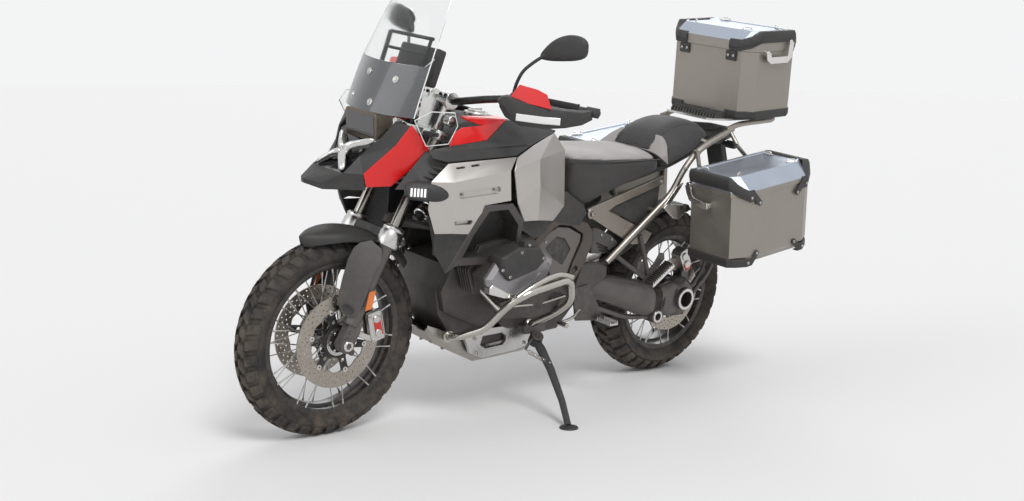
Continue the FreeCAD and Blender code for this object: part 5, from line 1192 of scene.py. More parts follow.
def puffed(piece, cap):
    """A padded piece swollen as cloth under pressure, each point held within a cap."""
    voxel, pressure, stiffness, last_frame = 0.006, 4.0, 40, 20
    mesh = bpy.data.meshes.new_from_object(piece.evaluated_get(bpy.context.evaluated_depsgraph_get()))
    trial = bpy.data.objects.new("trial_cushion", mesh)
    scene.collection.objects.link(trial)
    remesh = trial.modifiers.new("remesh", "REMESH")
    remesh.mode, remesh.voxel_size, remesh.use_smooth_shade = "VOXEL", voxel, True
    mesh = bpy.data.meshes.new_from_object(trial.evaluated_get(bpy.context.evaluated_depsgraph_get()))
    trial.modifiers.clear()
    trial.data = mesh
    before = [v.co.copy() for v in mesh.vertices]
    cloth = trial.modifiers.new("cloth", "CLOTH")
    cloth.settings.use_pressure = True
    cloth.settings.uniform_pressure_force = pressure
    cloth.settings.effector_weights.gravity = 0
    cloth.settings.tension_stiffness = cloth.settings.compression_stiffness = stiffness
    for frame_number in range(1, last_frame + 1):
        scene.frame_set(frame_number)
    after = trial.evaluated_get(bpy.context.evaluated_depsgraph_get()).data
    moved = [v.co.copy() for v in after.vertices]
    scene.frame_set(1)
    trial.modifiers.clear()
    for v, a, b in zip(mesh.vertices, before, moved):
        step = b - a
        v.co = a + step * min(1.0, cap / max(step.length, 1e-9))
    material = piece.data.materials[0]
    piece.modifiers.clear()
    piece.data = mesh
    mesh.materials.clear()
    mesh.materials.append(material)
    mesh.polygons.foreach_set("use_smooth", [True] * len(mesh.polygons))
    ease = piece.modifiers.new("ease", "SMOOTH")
    ease.factor, ease.iterations = 0.5, 6
    bpy.data.objects.remove(trial)
    return piece


side_table = [(-76, [(0, 900), (110, 904), (160, 904), (164, 880), (160, 810), (150, 772), (110, 765), (0,
    765)]), (-120, [(0, 896), (120, 898), (168, 900), (172, 880), (168, 800), (158, 748), (120, 742), (0,
    742)]), (-190, [(0, 890), (130, 892), (174, 896), (178, 870), (174, 790), (160, 726), (120, 718), (0,
    718)]), (-300, [(0, 884), (135, 886), (180, 890), (184, 868), (178, 810), (166, 772), (140, 764), (0,
    764)]), (-430, [(0, 880), (140, 882), (178, 885), (181, 868), (176, 838), (168, 812), (150, 804), (0,
    804)]), (-520, [(0, 876), (140, 877), (166, 880), (170, 868), (168, 850), (164, 834), (150, 830), (0,
    830)]), (-556, [(0, 874), (130, 875), (152, 878), (158, 868), (158, 856), (156, 844), (140, 840), (0,
    840)])]
rider_side = made("rider_seat_sides", [lofted(mirrored_rings(side_table))], grain_vinyl, "seat_vinyl", soft=2,
    replaces=["rider_seat"])
top_table = [(-74, [(0, 919), (90, 918), (130, 915), (158, 909), (163, 901), (140, 893), (60, 890), (0,
    890)]), (-120, [(0, 915), (90, 914), (132, 911), (166, 904), (170, 897), (140, 889), (60, 886), (0,
    886)]), (-200, [(0, 909), (90, 908), (134, 905), (171, 898), (175, 890), (140, 882), (60, 880), (0,
    880)]), (-300, [(0, 904), (90, 903), (134, 900), (172, 892), (177, 884), (140, 876), (60, 874), (0,
    874)]), (-400, [(0, 901), (90, 900), (130, 897), (168, 889), (173, 881), (140, 872), (60, 870), (0,
    870)]), (-490, [(0, 901), (90, 899), (128, 895), (160, 886), (165, 879), (140, 872), (60, 870), (0,
    870)]), (-552, [(0, 903), (84, 901), (122, 894), (152, 884), (157, 877), (130, 870), (60, 868), (0,
    868)])]
rider_top = made("rider_seat_top", [lofted(mirrored_rings(top_table))], pale_vinyl, "seat_vinyl", soft=2)
seam = [(x, half[4][0] + 1.5, half[4][1] - 1) for x, half in top_table]
made("seat_piping", pair([tube(seam, 2.2, 30, 8)]), grain_vinyl, "seat_vinyl")
riser_table = [(165, -541, 880, -549, 891), (136, -543, 890, -573, 925), (100, -546, 895, -589, 951), (50,
    -547, 897, -593, 956), (0, -547, 898, -594, 958)]
riser_table += [(-row[0],) + row[1:] for row in reversed(riser_table[:-1])]
riser = [[(x0, y, z0), (x1, y, z1), (x1 - 24, y, z1 - 3), (x0 - 44, y, z0 - 26)] for y, x0, z0, x1, z1 in
    riser_table]
seat_riser = made("seat_riser", [lofted(riser)], pale_vinyl, "seat_vinyl", bevel=6, steps=4, smooth=60)
face_out = Vector((0.8, 0, 0.6))
foot_of_slot, head_of_slot = Vector((-551, 0, 903)), Vector((-574, 0, 934))
slot_line = [foot_of_slot + LEFT * 88, head_of_slot + LEFT * 76, head_of_slot - LEFT * 76, foot_of_slot - LEFT
    * 88]
carved(seat_riser, [slab([p - face_out * 16 for p in slot_line], face_out * 40)], 60)
slot_edge = [p + face_out * 0.5 for p in slot_line]
made("grab_slot", [slab([p - face_out * 17 for p in slot_line], face_out * 3), tube(slot_edge + [slot_edge[0],
    slot_edge[1]], 3.4, 8, 8)], moulded, "dark_plastic")

# ------------------------------------------------------------------ passenger seat
# A higher pad of moulded foam in black grained vinyl behind the rider's riser.  Its sides lean
# inward to a narrow flat top.
pad_table = [(-550, [(0, 892), (60, 892), (110, 890), (150, 884), (160, 872), (160, 848), (130, 842), (0,
    842)]), (-576, [(0, 938), (60, 936), (98, 930), (134, 904), (156, 878), (163, 852), (130, 842), (0,
    842)]), (-602, [(0, 966), (64, 964), (94, 953), (132, 914), (160, 880), (167, 856), (130, 845), (0,
    845)]), (-650, [(0, 986), (66, 984), (90, 972), (134, 926), (163, 890), (168, 868), (130, 858), (0,
    858)]), (-704, [(0, 998), (66, 996), (87, 986), (132, 938), (159, 902), (162, 886), (130, 879), (0,
    879)]), (-762, [(0, 999), (66, 997), (85, 988), (124, 946), (146, 920), (148, 910), (120, 903), (0,
    903)]), (-816, [(0, 990), (62, 988), (79, 980), (108, 954), (126, 940), (128, 932), (100, 926), (0,
    926)]), (-862, [(0, 972), (54, 970), (69, 964), (90, 953), (101, 947), (103, 941), (80, 937), (0, 937)]),
    (-876, [(0, 960), (48, 959), (60, 957), (76, 951), (84, 947), (86, 943), (70, 939), (0, 939)])]
pillion = made("passenger_pad", [lofted(mirrored_rings(pad_table))], weave_vinyl, "seat_vinyl", soft=2,
    replaces=["passenger_seat"])
for piece, cap in ((rider_side, 0.004), (rider_top, 0.004), (pillion, 0.006)):
    puffed(piece, cap)
pad_seam = [(x, half[2][0] + 1.5, half[2][1] + 0.5) for x, half in pad_table[2:]]
made("passenger_piping", pair([tube(pad_seam, 1.6, 30, 8)]), grain_vinyl, "seat_vinyl")

# ------------------------------------------------------------------ aluminium cases
# Two side cases and a top case, folded from brushed aluminium sheet with chamfered corners and
# black moulded corner guards.  Each has its own lifting lid with lashing loops.
blasted = finish("blasted_aluminium", (0.33, 0.305, 0.27), 0.5, metal=0.85, shade=0.07, relief=0.00012,
    grain=1900.0, bare=(0.5, 0.48, 0.44), wear=0.25)
# The lids' pale blue is a painted reflection of the sky on their upward faces; their side bands keep the
# body's colour.
sky_tinted_lid_metal = finish("lid_aluminium", (0.42, 0.46, 0.53), 0.4, metal=0.9, shade=0.06, relief=0.0001,
    grain=1500.0)
bright_metal = finish("bright_alloy", (0.72, 0.71, 0.69), 0.22, metal=1.0, shade=0.04, relief=0.00004)
case_inside = finish("case_lining", (0.05, 0.05, 0.05), 0.75, grain=800.0, relief=0.0004)


def plan(box, cuts, inset=0.0):
    """The outline of a case seen from above, with a chamfer of its own at each corner."""
    x0, x1, y0, y1 = box
    line = []
    for x, y, sx, sy, (cx, cy), first in ((x1, y1, 1, 1, cuts[0], 1), (x1, y0, 1, -1, cuts[1], 0), (x0, y0,
            -1, -1, cuts[2], 1), (x0, y1, -1, 1, cuts[3], 0)):
        side = (x - sx * cx, y - sy * inset)
        end = (x - sx * inset, y - sy * cy)
        line += [side, end] if first else [end, side]
    return line


def level(line, z):
    """The outline raised to a height."""
    return [(x, y, z) for x, y in line]


def strip_along(path, section):
    """A moulded strip along a path; its section gives distances outward and heights above it."""
    rings = []
    for i, p in enumerate(path):
        before = (Vector(p) - Vector(path[max(i - 1, 0)])).to_2d()
        after = (Vector(path[min(i + 1, len(path) - 1)]) - Vector(p)).to_2d()
        before = (before if before.length else after).normalized()
        after = (after if after.length else before).normalized()
        normals = [Vector((-d.y, d.x)) for d in (before, after)]
        mid = (normals[0] + normals[1]).normalized()
        mid /= max(mid.dot(normals[0]), 0.3)
        rings.append([(p[0] + mid.x * out, p[1] + mid.y * out, p[2] + z) for out, z in section])
    return lofted(rings)


def strap(points, out, wide, thick):
    """A flat strap along a path, its broad side facing out."""
    points, out = [Vector(p) for p in points], Vector(out)
    rings = []
    for i, p in enumerate(points):
        way = (points[min(i + 1, len(points) - 1)] - points[max(i - 1, 0)]).normalized()
        side = way.cross(out).normalized() * (wide / 2)
        rings.append([p + side, p + side + out * thick, p - side + out * thick, p - side])
    return lofted(rings)


def hard_case(name, box, under, top_box, height, lid_high, wall, cuts, corner, tilt, mirrored, trims, handles,
        loops):
    """A case, its lid and all their fittings, drawn level and then set down."""
    lid_body = name + "_lid"
    place = Matrix.Translation((corner[0], 0, corner[1])) @ Matrix.Rotation(radians(tilt), 4, "Y")

    def set_down(shapes):
        done = [([place @ Vector(v) for v in verts], faces) for verts, faces in shapes]
        return [flipped(one) for one in done] if mirrored else done

    def rows(table):
        return [level(plan(one, cuts, inset), z) for one, inset, z in table]

    shell = lofted(rows([(under, 4, 0.3), (under, 0, 8), (box, 0, 36), (box, 0, height), (box, 2.5, height),
        (box, 2.5, 37), (under, 2.5, 9)]))
    made(name + "_case_shell", set_down([shell]), blasted, "case_aluminium", bevel=3.0, steps=3, smooth=16,
        replaces=[name + "_case"])
    made(name + "_case_lining", set_down([lofted(rows([(under, 3.5, 9.6), (under, 3.5, 12)]))]), case_inside,
        "dark_plastic")
    base, top = height + 0.6, height + 0.6 + lid_high
    band = lofted(rows([(box, -3.6, base), (box, -3.6, base + wall), (box, 1, base + wall), (box, 1, base)]),
        True)
    made(name + "_lid_band", set_down([band]), blasted, "case_aluminium", lid_body, bevel=1.0)
    # The lid shell carries the painted sky reflection.
    lid = lofted(rows([(top_box, 8, top - 8), (box, 1, base + wall), (box, -4, base + wall - 3), (box, -4,
        base + wall), (top_box, -3, top - 2), (top_box, 0, top), (top_box, 12, top), (top_box, 16, top - 4)]))
    made(name + "_lid_shell", set_down([lid]), sky_tinted_lid_metal, "lid_aluminium", lid_body, bevel=1.4, steps=2,
        smooth=14, replaces=[name + "_lid"])
    lid_section = [(4.5, -40), (8.5, -42), (9.5, -30), (11, -28), (10.5, -12), (5, 0.8), (-16, 1.4), (-20,
        -3), (-3, -7), (4.5, -14)]
    foot_section = [(0.4, 32), (6.0, 30), (6.5, 8), (2.0, -0.2), (-22.0, -0.4), (-22.0, 2.6), (-2.0, 4), (0.4,
        9)]
    upper, lower, screws = [], [], []
    for path, tabs, hinges in trims:
        path = [Vector(p) for p in path]
        upper.append(strip_along([p + UP * top for p in path], lid_section))
        lower.append(strip_along([Vector((p.x, p.y, 0)) for p in path], foot_section))
        for at, along, out in tabs:
            at, along, out = Vector(at), Vector(along), Vector(out)
            for run, drop, lift, group, off in ((upper, top + at.z - 24, -1, 0, 5.4), (lower, 16, 1, 1, 0.6)):
                root = Vector((at.x, at.y, drop)) + out * off
                tip = root + along * 26 + UP * lift * 27
                line = [root + UP * 15, root - UP * 15]
                arcs = []
                heading = (tip - root).normalized()
                for i in range(9):
                    a = pi * i / 8
                    arcs.append(tip + heading.cross(out) * 11 * cos(a) + heading * 11 * sin(a))
                flat = line + arcs if (arcs[0] - line[1]).length < (arcs[-1] -
                    line[1]).length else line + arcs[::-1]
                run.append(slab(flat, out * 5))
                screws.append((group, bolt(tip + out * 5, out, 5.5, 2.5)))
                screws.append((group, bolt(root - along * 22 + out * 6.5, out, 5.5, 2.5)))
        for x, y in hinges:
            lower.append(slab([(x - 1, y - 24, height - 38), (x - 1, y + 24, height - 38), (x - 1, y + 24,
                height - 2), (x - 1, y - 24, height - 2)], (8, 0, 0)))
            screws += [(1, bolt((x + 7, y + d, height - 20), AHEAD, 5.5, 2.5)) for d in (-13, 13)]
    made(name + "_lid_guards", set_down(upper), moulded, "dark_plastic", lid_body, bevel=1.6, steps=2)
    made(name + "_case_guards", set_down(lower), moulded, "dark_plastic", bevel=1.6, steps=2)
    made(name + "_lid_screws", set_down([one for group, one in screws if not group]), screw_steel,
        "tube_steel", lid_body)
    made(name + "_case_screws", set_down([one for group, one in screws if group]), screw_steel, "tube_steel")
    grips = []
    for points, out in handles:
        grips.append(strap([Vector(p) + Vector(out) * 17 for p in points], out, 25, 4.5))
        for p in (points[0], points[-1]):
            grips.append(bar(Vector(p), Vector(p) + Vector(out) * 18, 10, 16))
    made(name + "_case_handle", set_down(grips), bright_metal, "case_aluminium", bevel=1.4)
    rings = []
    for x, y, turn in loops:
        way = Vector((cos(radians(turn)), sin(radians(turn)), 0))
        at = Vector((x, y, top - 2))
        rings.append(tube([at - way * 17, at - way * 15 + UP * 10, at + way * 15 + UP * 10, at + way * 17],
            2.6, 7, 8))
        rings.append(slab([at - way * 22 + way.cross(UP) * 6, at + way * 22 + way.cross(UP) * 6, at + way * 22
            - way.cross(UP) * 6, at - way * 22 - way.cross(UP) * 6], (0, 0, 3)))
    made(name + "_lid_loops", set_down(rings), bright_metal, "tube_steel", lid_body, bevel=0.5, steps=1)


side_box, side_under, side_top = (-430, 0, 252, 486), (-430, 0, 252, 458), (-430, 0, 252, 440)
side_cuts = [(58, 32), (12, 12), (12, 12), (58, 32)]
front_path = [(-84, 486, -45), (-58, 486, -44), (-24, 467, -24), (0, 444, 0), (0, 264, 0), (-12, 252, 0)]
rear_path = [(-430 - x, y, z) for x, y, z in reversed(front_path)]
side_trims = [(front_path, [((-84, 486, -45), (-1, 0, 0), (0, 1, 0))], []), (rear_path, [((-346, 486, -45),
    (1, 0, 0), (0, 1, 0))], [])]
side_handle = [((1, 262, 276), (1, 270, 250), (1, 280, 230), (1, 300, 221), (1, 344, 214), (1, 358, 216)), (1,
    0, 0)]
side_loops = [(-70, 424, 28), (-360, 424, -28), (-40, 290, 90), (-390, 290, 90)]
for name, mirrored in (("left", False), ("right", True)):
    hard_case(name, side_box, side_under, side_top, 263, 66, 19, side_cuts, (-645, 528), 7, mirrored,
        side_trims, [side_handle], side_loops)
top_box, top_top = (-300, 0, -208, 208), (-254, -46, -208, 208)
top_cuts = [(50, 42)] * 4
side_path = [(-300, 108, -52), (-300, 160, -50), (-272, 188, -24), (-242, 208, 0), (-58, 208, 0), (-28, 188,
    -20), (0, 160, -32), (0, 108, -33)]
other_path = [(x, -y, z) for x, y, z in reversed(side_path)]
top_trims = [(side_path, [((-300, 112, -52), (0, -1, 0), (-1, 0, 0))], [(0, 118)]), (other_path, [((-300,
    -112, -52), (0, 1, 0), (-1, 0, 0))], [(0, -118)])]
grip_line = [(-85, 252), (-88, 234), (-100, 226), (-196, 226), (-208, 236), (-214, 290)]
top_handles = [([(x, 208 * way, z) for x, z in grip_line], (0, way, 0)) for way in (1, -1)]
top_loops = [(-64, 130, 128), (-64, -130, 52), (-236, 130, 52), (-236, -130, 128)]
hard_case("top", top_box, top_box, top_top, 257, 75, 38, top_cuts, (-930, 1014), 3, False, top_trims,
    top_handles, top_loops)

# ------------------------------------------------------------------ engine
# A flat twin: a dark crankcase between two finned barrels, whose light castings stand out at the
# sides under dark screwed guards.  Covers, ribs and plugs follow the joints of such a casting.
def stacked(outline, levels):
    """A casting: one outline of x, z pairs at several values of y, each with its own scale."""
    cx, cz = (sum(p[i] for p in outline) / len(outline) for i in (0, 1))
    return lofted([[(cx + (x - cx) * k, y, cz + (z - cz) * k) for x, z in outline] for y, k in levels])


engine_grey = finish("engine_grey", (0.075, 0.07, 0.067), 0.48, metal=0.5, shade=0.14, relief=0.0003,
    grain=1300.0, bare=(0.3, 0.29, 0.28), wear=0.35, dust=0.25)
head_silver = finish("head_silver", (0.3, 0.29, 0.3), 0.42, metal=0.65, shade=0.08, relief=0.00022,
    grain=1500.0, bare=(0.55, 0.54, 0.53), wear=0.3, dust=0.15)
case_line = [(396, 384), (414, 470), (376, 552), (120, 604), (-60, 564), (-236, 486), (-258, 372), (-158,
    266), (236, 246), (326, 294)]
crank = [stacked(case_line, [(-108, 0.95), (-100, 1.0), (100, 1.0), (108, 0.95)]), stacked([(392, 400), (412,
    470), (374, 550), (120, 602), (-60, 562), (-232, 484), (-240, 380), (-120, 336), (240, 330)], [(-138,
    0.93), (-128, 1.0), (128, 1.0), (138, 0.93)])]
for x, z, r in ((90, 400, 92), (-118, 402, 74)):
    crank += pair([turned([(0.1, 149), (r * 0.55, 149), (r * 0.62, 146), (r * 0.9, 146), (r, 140), (r, 120)],
        (x, 0, z), LEFT, 40, False)])
    crank += pair([bolt((x + (r - 8) * cos(a), 143, z + (r - 8) * sin(a)), LEFT, 5, 4) for a in turns(8)])
made("crankcase", crank, engine_grey, "engine_grey", bevel=6, steps=3, replaces=["engine_block"])
barrel_line = [(345, 478), (375, 560), (330, 640), (120, 668), (60, 610), (95, 530), (240, 470)]
fins = [(150, 0.93)]
for i in range(5):
    fins += [(153 + 13 * i, 0.93), (155 + 13 * i, 1.0), (159 + 13 * i, 1.0), (161 + 13 * i, 0.93)]
made("barrels", pair([stacked(barrel_line, fins)]), engine_grey, "engine_grey", bevel=1.2,
    replaces=["cylinders"])
head_line = [(352, 500), (370, 552), (326, 612), (150, 640), (86, 598), (100, 546), (238, 484)]
inner_heads = [stacked(head_line, [(214, 0.9), (220, 0.95), (284, 0.95), (288, 0.9)])]
made("head_bodies", pair(inner_heads), engine_grey, "engine_grey", bevel=5)
heads = [stacked(head_line, [(283, 0.98), (288, 1.0), (298, 1.0), (315, 0.9)])]
heads += [turned([(0.1, 12), (6, 12), (7, 8), (13, 8), (15, 5), (15, -4)], (112, 308, 588), (0, 1, 0), 20,
    False), turned([(0.1, 10), (12, 10), (14, 6), (14, -4)], (150, 308, 545), (0, 1, 0), 20, False)]
made("head_castings", pair(heads), head_silver, "engine_silver", bevel=7, steps=3)
edge_strip = [prism([(366, 528), (364, 506), (300, 486), (244, 480), (240, 490), (292, 506), (352, 538)], 286,
    319)]
made("head_edge_strips", pair(edge_strip), polished_cast, "engine_silver", bevel=3, steps=3)
guard_line = [(338, 628), (330, 580), (294, 545), (176, 574), (136, 610), (172, 650), (264, 656)]
guard = [stacked(guard_line, [(264, 0.97), (322, 1.0), (329, 0.98), (335, 0.9)]), prism([(240, 640), (186,
    644), (192, 674), (234, 672)], 292, 322)]
made("head_guards", pair(guard), moulded, "dark_plastic", bevel=3, steps=3, replaces=["cylinder_guards"])
screws = [bolt((x, y, z), LEFT, 6, 4) for x, y, z in ((330, 333, 588), (296, 333, 562), (156, 333, 612), (254,
    333, 640), (213, 321, 658))]
made("head_guard_screws", pair(screws), screw_steel, "tube_steel")

# ------------------------------------------------------------------ main frame
# Pressed side plates tie the headstock, the engine and the swingarm pivot together; an arched
# bronze cover with a sunk middle hides each one, and a small grated cover closes its rear corner.
cover_out = [(66, 596), (30, 640), (-30, 688), (-72, 700), (-124, 692), (-205, 664), (-232, 634), (-234, 580),
    (-205, 520), (-153, 440), (-120, 444), (-150, 530), (-184, 600), (-186, 626), (-122, 660), (-70, 668),
    (-40, 656), (10, 610), (40, 580)]
inner_line = [(30, 600), (-8, 632), (-66, 660), (-118, 654), (-180, 624), (-178, 598), (-146, 530), (-118,
    452), (-60, 470), (-20, 540)]
recess = [(-12, 590), (-64, 626), (-104, 614), (-136, 574), (-104, 520), (-56, 548)]
rails = [lofted([[(x, y, z) for y, z in ((46, top - 40), (72, top - 40), (72, top), (46, top))] for x, top in
    ((328, 700), (250, 760), (60, 800), (-160, 760))])]
rails += [tube([(330, 60, 640), (230, 62, 700), (60, 66, 720), (-120, 80, 640), (-200, 120, 580)], 17, 60)]
made("frame_rails", pair(rails) + [bar(steer(986), steer(1059), 30, 28), bar((-225, -151, 600), (-225, 151,
    600), 20), bar((332, -128, 662), (332, 128, 662), 12)], switch_black, "frame_black", bevel=2,
    replaces=["main_frame"])
cover_grey = finish("cover_bronze", (0.1, 0.086, 0.075), 0.42, metal=0.6, shade=0.08, relief=0.00015,
    bare=(0.3, 0.27, 0.24), wear=0.3, dust=0.15)
arch = made("frame_covers", pair([prism(cover_out, 150, 164)]), cover_grey, "frame_paint", bevel=5, steps=3)
carved(arch, pair([turned([(0.1, 10), (12, 10), (12, -9), (0.1, -9)], (-160, 160, 500), LEFT, 24, False)]))
made("cover_eyes", pair([turned([(13, 3), (17, 3), (19, 0), (19, -8), (13, -8)], (-160, 159, 500), LEFT,
    24)]), switch_black, "frame_black")
inner_bronze = finish("inner_bronze", (0.16, 0.145, 0.135), 0.4, metal=0.6, shade=0.06, relief=0.00015)
panel_in = made("frame_inner_covers", pair([prism(inner_line, 146, 157)]), inner_bronze, "frame_paint",
    bevel=2.5)
carved(panel_in, pair([prism(recess, 151, 170)]))
made("frame_recesses", pair([prism(recess, 148, 152)]), moulded, "frame_black")
pivot = [stacked([(-196, 512), (-262, 516), (-322, 500), (-324, 458), (-262, 420), (-200, 388), (-158, 402)],
    [(140, 1.0), (160, 1.0), (166, 0.93)]), stacked([(-130, 470), (-60, 575), (-20, 560), (40, 470), (-40,
    380), (-150, 400)], [(140, 1), (148, .96)])]
made("pivot_covers", pair(pivot), engine_grey, "frame_black", bevel=4, steps=3)
grate = made("grated_covers", pair([stacked([(-238, 640), (-262, 640), (-336, 606), (-372, 578), (-366, 566),
    (-312, 543), (-240, 548)], [(140, 1), (153, 1), (157, 0.93)])]), grey_moulding, "dark_plastic", bevel=3,
    steps=2)
carved(grate, pair([pill((-262 - 8 * i, 157, 585 - 13 * i), (-318 - 8 * i, 157, 563 - 10 * i), 3.2, LEFT, 9)
    for i in range(3)]))
made("grate_screws", pair([bolt((-282, 157, 614), LEFT, 6, 4), bolt((-338, 156, 592), LEFT, 6, 4), bolt((-12,
    157, 612), LEFT, 6, 4)]), screw_steel, "tube_steel")

# ------------------------------------------------------------------ crash bars and skid plate
# Polished tubes loop round each head, with a second strand above and flanged feet; below them lies
# a folded skid plate with a slotted guard at each side.
loop = [(366, 126, 312), (358, 176, 322), (305, 244, 362), (280, 292, 434), (268, 334, 478), (215, 354, 508),
    (40, 352, 534), (4, 330, 446), (14, 262, 386), (30, 160, 320)]
upper = [(262, 340, 490), (215, 350, 522), (150, 352, 545), (87, 350, 556), (34, 352, 540)]
crash = [tube(loop, 12.6, 34, 18), tube([(333, 152, 540), (307, 200, 490), (284, 284, 436)], 11, 40, 16),
    tube(upper, 9.5, 40, 16), tube([(30, 326, 470), (68, 250, 425), (193, 246, 428)], 5, 30, 12)]
crash += [turned([(12, 6), (20, 6), (22, 3), (22, -6), (12, -6)], (366, 128, 312), LEFT, 24)]
crash += [turned([(0.1, 10), (12, 10), (20, 4), (21, -6)], at, way, 24, False) for at, way in (((333, 150,
    541), (0.4, 0.75, -0.5)), ((30, 158, 319), (0.2, 0.9, 0.4)))]
bar_steel = finish("bar_steel", (0.5, 0.48, 0.44), 0.2, metal=1.0, shade=0.08, relief=0.00004, dust=0.12)
made("crash_bars", pair(crash), bar_steel, "tube_steel", replaces=["crash_bars"])
# Dark plates inside each crash bar loop, below the head, stand for the shade there: painted shade.
painted_shade_plate = [slab([(262, 238, 440), (120, 270, 486), (10, 300, 470), (10, 262, 396), (90, 232, 372), (210,
    220, 380)], (0, -5, 1))]
made("crash_bar_painted_shade", pair(painted_shade_plate), engine_grey, "dark_plastic", bevel=2)
skid_alloy = finish("skid_alloy", (0.42, 0.4, 0.37), 0.38, metal=0.9, shade=0.1, relief=0.0002, grain=1400.0,
    bare=(0.6, 0.59, 0.57), wear=0.4, dust=0.35)
trough = []
for x, half, low, high in ((422, 84, 318, 344), (384, 96, 276, 330), (300, 102, 232, 290), (214, 104, 190,
        244), (100, 104, 193, 236), (-20, 100, 197, 232)):
    side = [(half, high), (half, low + 18), (half - 18, low), (half * 0.34, low - 1), (half * 0.28, low + 4)]
    trough.append([(x, y, z) for y, z in side] + [(x, -y, z) for y, z in reversed(side)])
thickened(made("skid_plate", [grid(trough)], skid_alloy, "skid_aluminium", bevel=0.8, smooth=14,
    replaces=["skid_plate"]), 4)
ear = [(292, 292), (268, 308), (180, 318), (-10, 316), (-16, 236), (60, 222), (208, 214), (262, 236)]
hole = [(214, 292), (128, 294), (106, 280), (106, 262), (120, 250), (196, 246), (222, 262)]
made("skid_guards", pair([pierced([ear, hole], 114, 130)]), satin_alloy, "skid_aluminium", bevel=4)
made("skid_bolts", pair([bolt(p, LEFT, 7, 5) for p in ((250, 130, 290), (236, 130, 236), (20, 130, 296), (20,
    130, 244))] + [bolt((x, 60, z), (-0.4, 0, -1), 7, 4) for x, z in ((380, 276), (330, 246), (160, 190))]),
    screw_steel, "tube_steel")
# Dark sheets just inside the frame, behind the engine, stand for the shade within it: painted shade.
painted_shade_sheets = pair([prism([(-40, 742), (-58, 600), (-150, 548), (-290, 560), (-352, 640), (-300, 720), (-180,
    756)], 120, 124)])
made("frame_painted_shade", painted_shade_sheets, moulded, "dark_plastic", bevel=1.0, steps=1)

# ------------------------------------------------------------------ radiators, tank and front suspension
# Finned cores in black frames stand beside the front; the tank under its panels carries a filler
# cap.  A ball-jointed arm and a sprung strut hold the fork behind the wheel.
cores = [prism([(-6, -95), (28, -95), (34, -88), (34, 88), (28, 95), (-6, 95)], 0, 110)]
fin_rows = [prism([(32, z), (36.5, z), (36.5, z + 2), (32, z + 2)], 6, 104) for z in range(-84, 92, 8)]
turn_core = Matrix.Rotation(radians(-12), 3, "Z")
radiator_black = finish("radiator_black", (0.03, 0.03, 0.03), 0.5, metal=0.4, grain=700.0)
made("radiators", pair([set_at(one, turn_core, (428, 134, 695)) for one in cores + fin_rows]), radiator_black,
    "radiator_black", bevel=0.8, steps=1, replaces=["radiators"])
tank_rows = []
for x, half, top, low in ((432, 66, 985, 800), (352, 58, 1004, 760), (296, 122, 1024, 750), (250, 160, 1040,
        740), (100, 160, 1022, 760), (0, 150, 992, 790), (-58, 120, 950, 830)):
    tank_rows.append([(x, y, z) for y, z in ((half * 0.5, top), (half * 0.86, top - 18), (half, top - 70),
        (half, low + 30), (half * 0.7, low), (-half * 0.7, low), (-half, low + 30), (-half, top - 70), (-half
        * 0.86, top - 18), (-half * 0.5, top))])
made("fuel_tank", [lofted(tank_rows)], moulded, "silver_paint", bevel=14, steps=4, replaces=["fuel_tank"])
cap_at = Vector((215, 0, 1044))
cap = [turned([(0.1, 10), (26, 10), (30, 7), (31, 2), (40, 2), (43, -2), (43, -10)], cap_at, (-0.08, 0, 1),
    40, False), slab([cap_at + Vector((x, y, 9)) for x, y in ((-20, -6), (20, -6), (20, 6), (-20, 6))], (0, 0,
    6))]
cap += [bolt(cap_at + Vector((36 * cos(a), 36 * sin(a), 2)), UP, 2.6, 2) for a in turns(6, 0.5)]
made("fuel_cap", cap, satin_alloy, "satin_aluminium", bevel=1)
ball = steer(779)
arms_low = [tube([ball, (480, 60, 690), (356, 100, 668)], 15, 60, 14, (20, 15), 0.7)]
made("front_arm", pair(arms_low) + [turned([(0.1, 20), (20, 18), (27, 10), (27, -16), (18, -22)], ball,
    STEER_UP, 28, False), bar((332, -120, 662), (332, -84, 662), 26), bar((332, 84, 662), (332, 120, 662),
    26), bar((356, -100, 668), (356, 100, 668), 9)], engine_grey, "frame_black", bevel=1.5,
    replaces=["front_arm"])


def spring(low, high, radius, wire, turns, steps=22):
    """A coil spring between two points."""
    low, high = Vector(low), Vector(high)
    axis = (high - low).normalized()
    first = axis.orthogonal().normalized()
    second = axis.cross(first)
    path = []
    for i in range(int(turns * steps) + 1):
        a = tau * i / steps
        path.append(low.lerp(high, i / (turns * steps)) + first * radius * cos(a) + second * radius * sin(a))
    return tube(path, wire, 0, 8)


strut_low, strut_high = ball + Vector((-102, 0, -9)), Vector((306, 0, 786))
inner = [bar(strut_low, strut_high, 17), bar(strut_high.lerp(strut_low, 0.3), strut_high, 27)]
made("front_strut_body", inner, switch_black, "dark_plastic", bevel=2, replaces=["front_strut"])
made("front_spring", [spring(strut_low.lerp(strut_high, 0.12), strut_high.lerp(strut_low, 0.12), 24, 4.6, 7)],
    plated, "tube_steel")
rear_low, rear_high = (-300, 30, 458), (-300, 30, 655)
made("rear_strut_body", [bar(rear_low, rear_high, 16), bar((-300, 30, 600), rear_high, 30), bar(rear_low,
    (-300, 30, 476), 30)], switch_black, "dark_plastic", bevel=2, replaces=["rear_strut"])
made("rear_spring", [spring((-300, 30, 472), (-300, 30, 604), 26, 5.4, 6.5)], plated, "tube_steel")

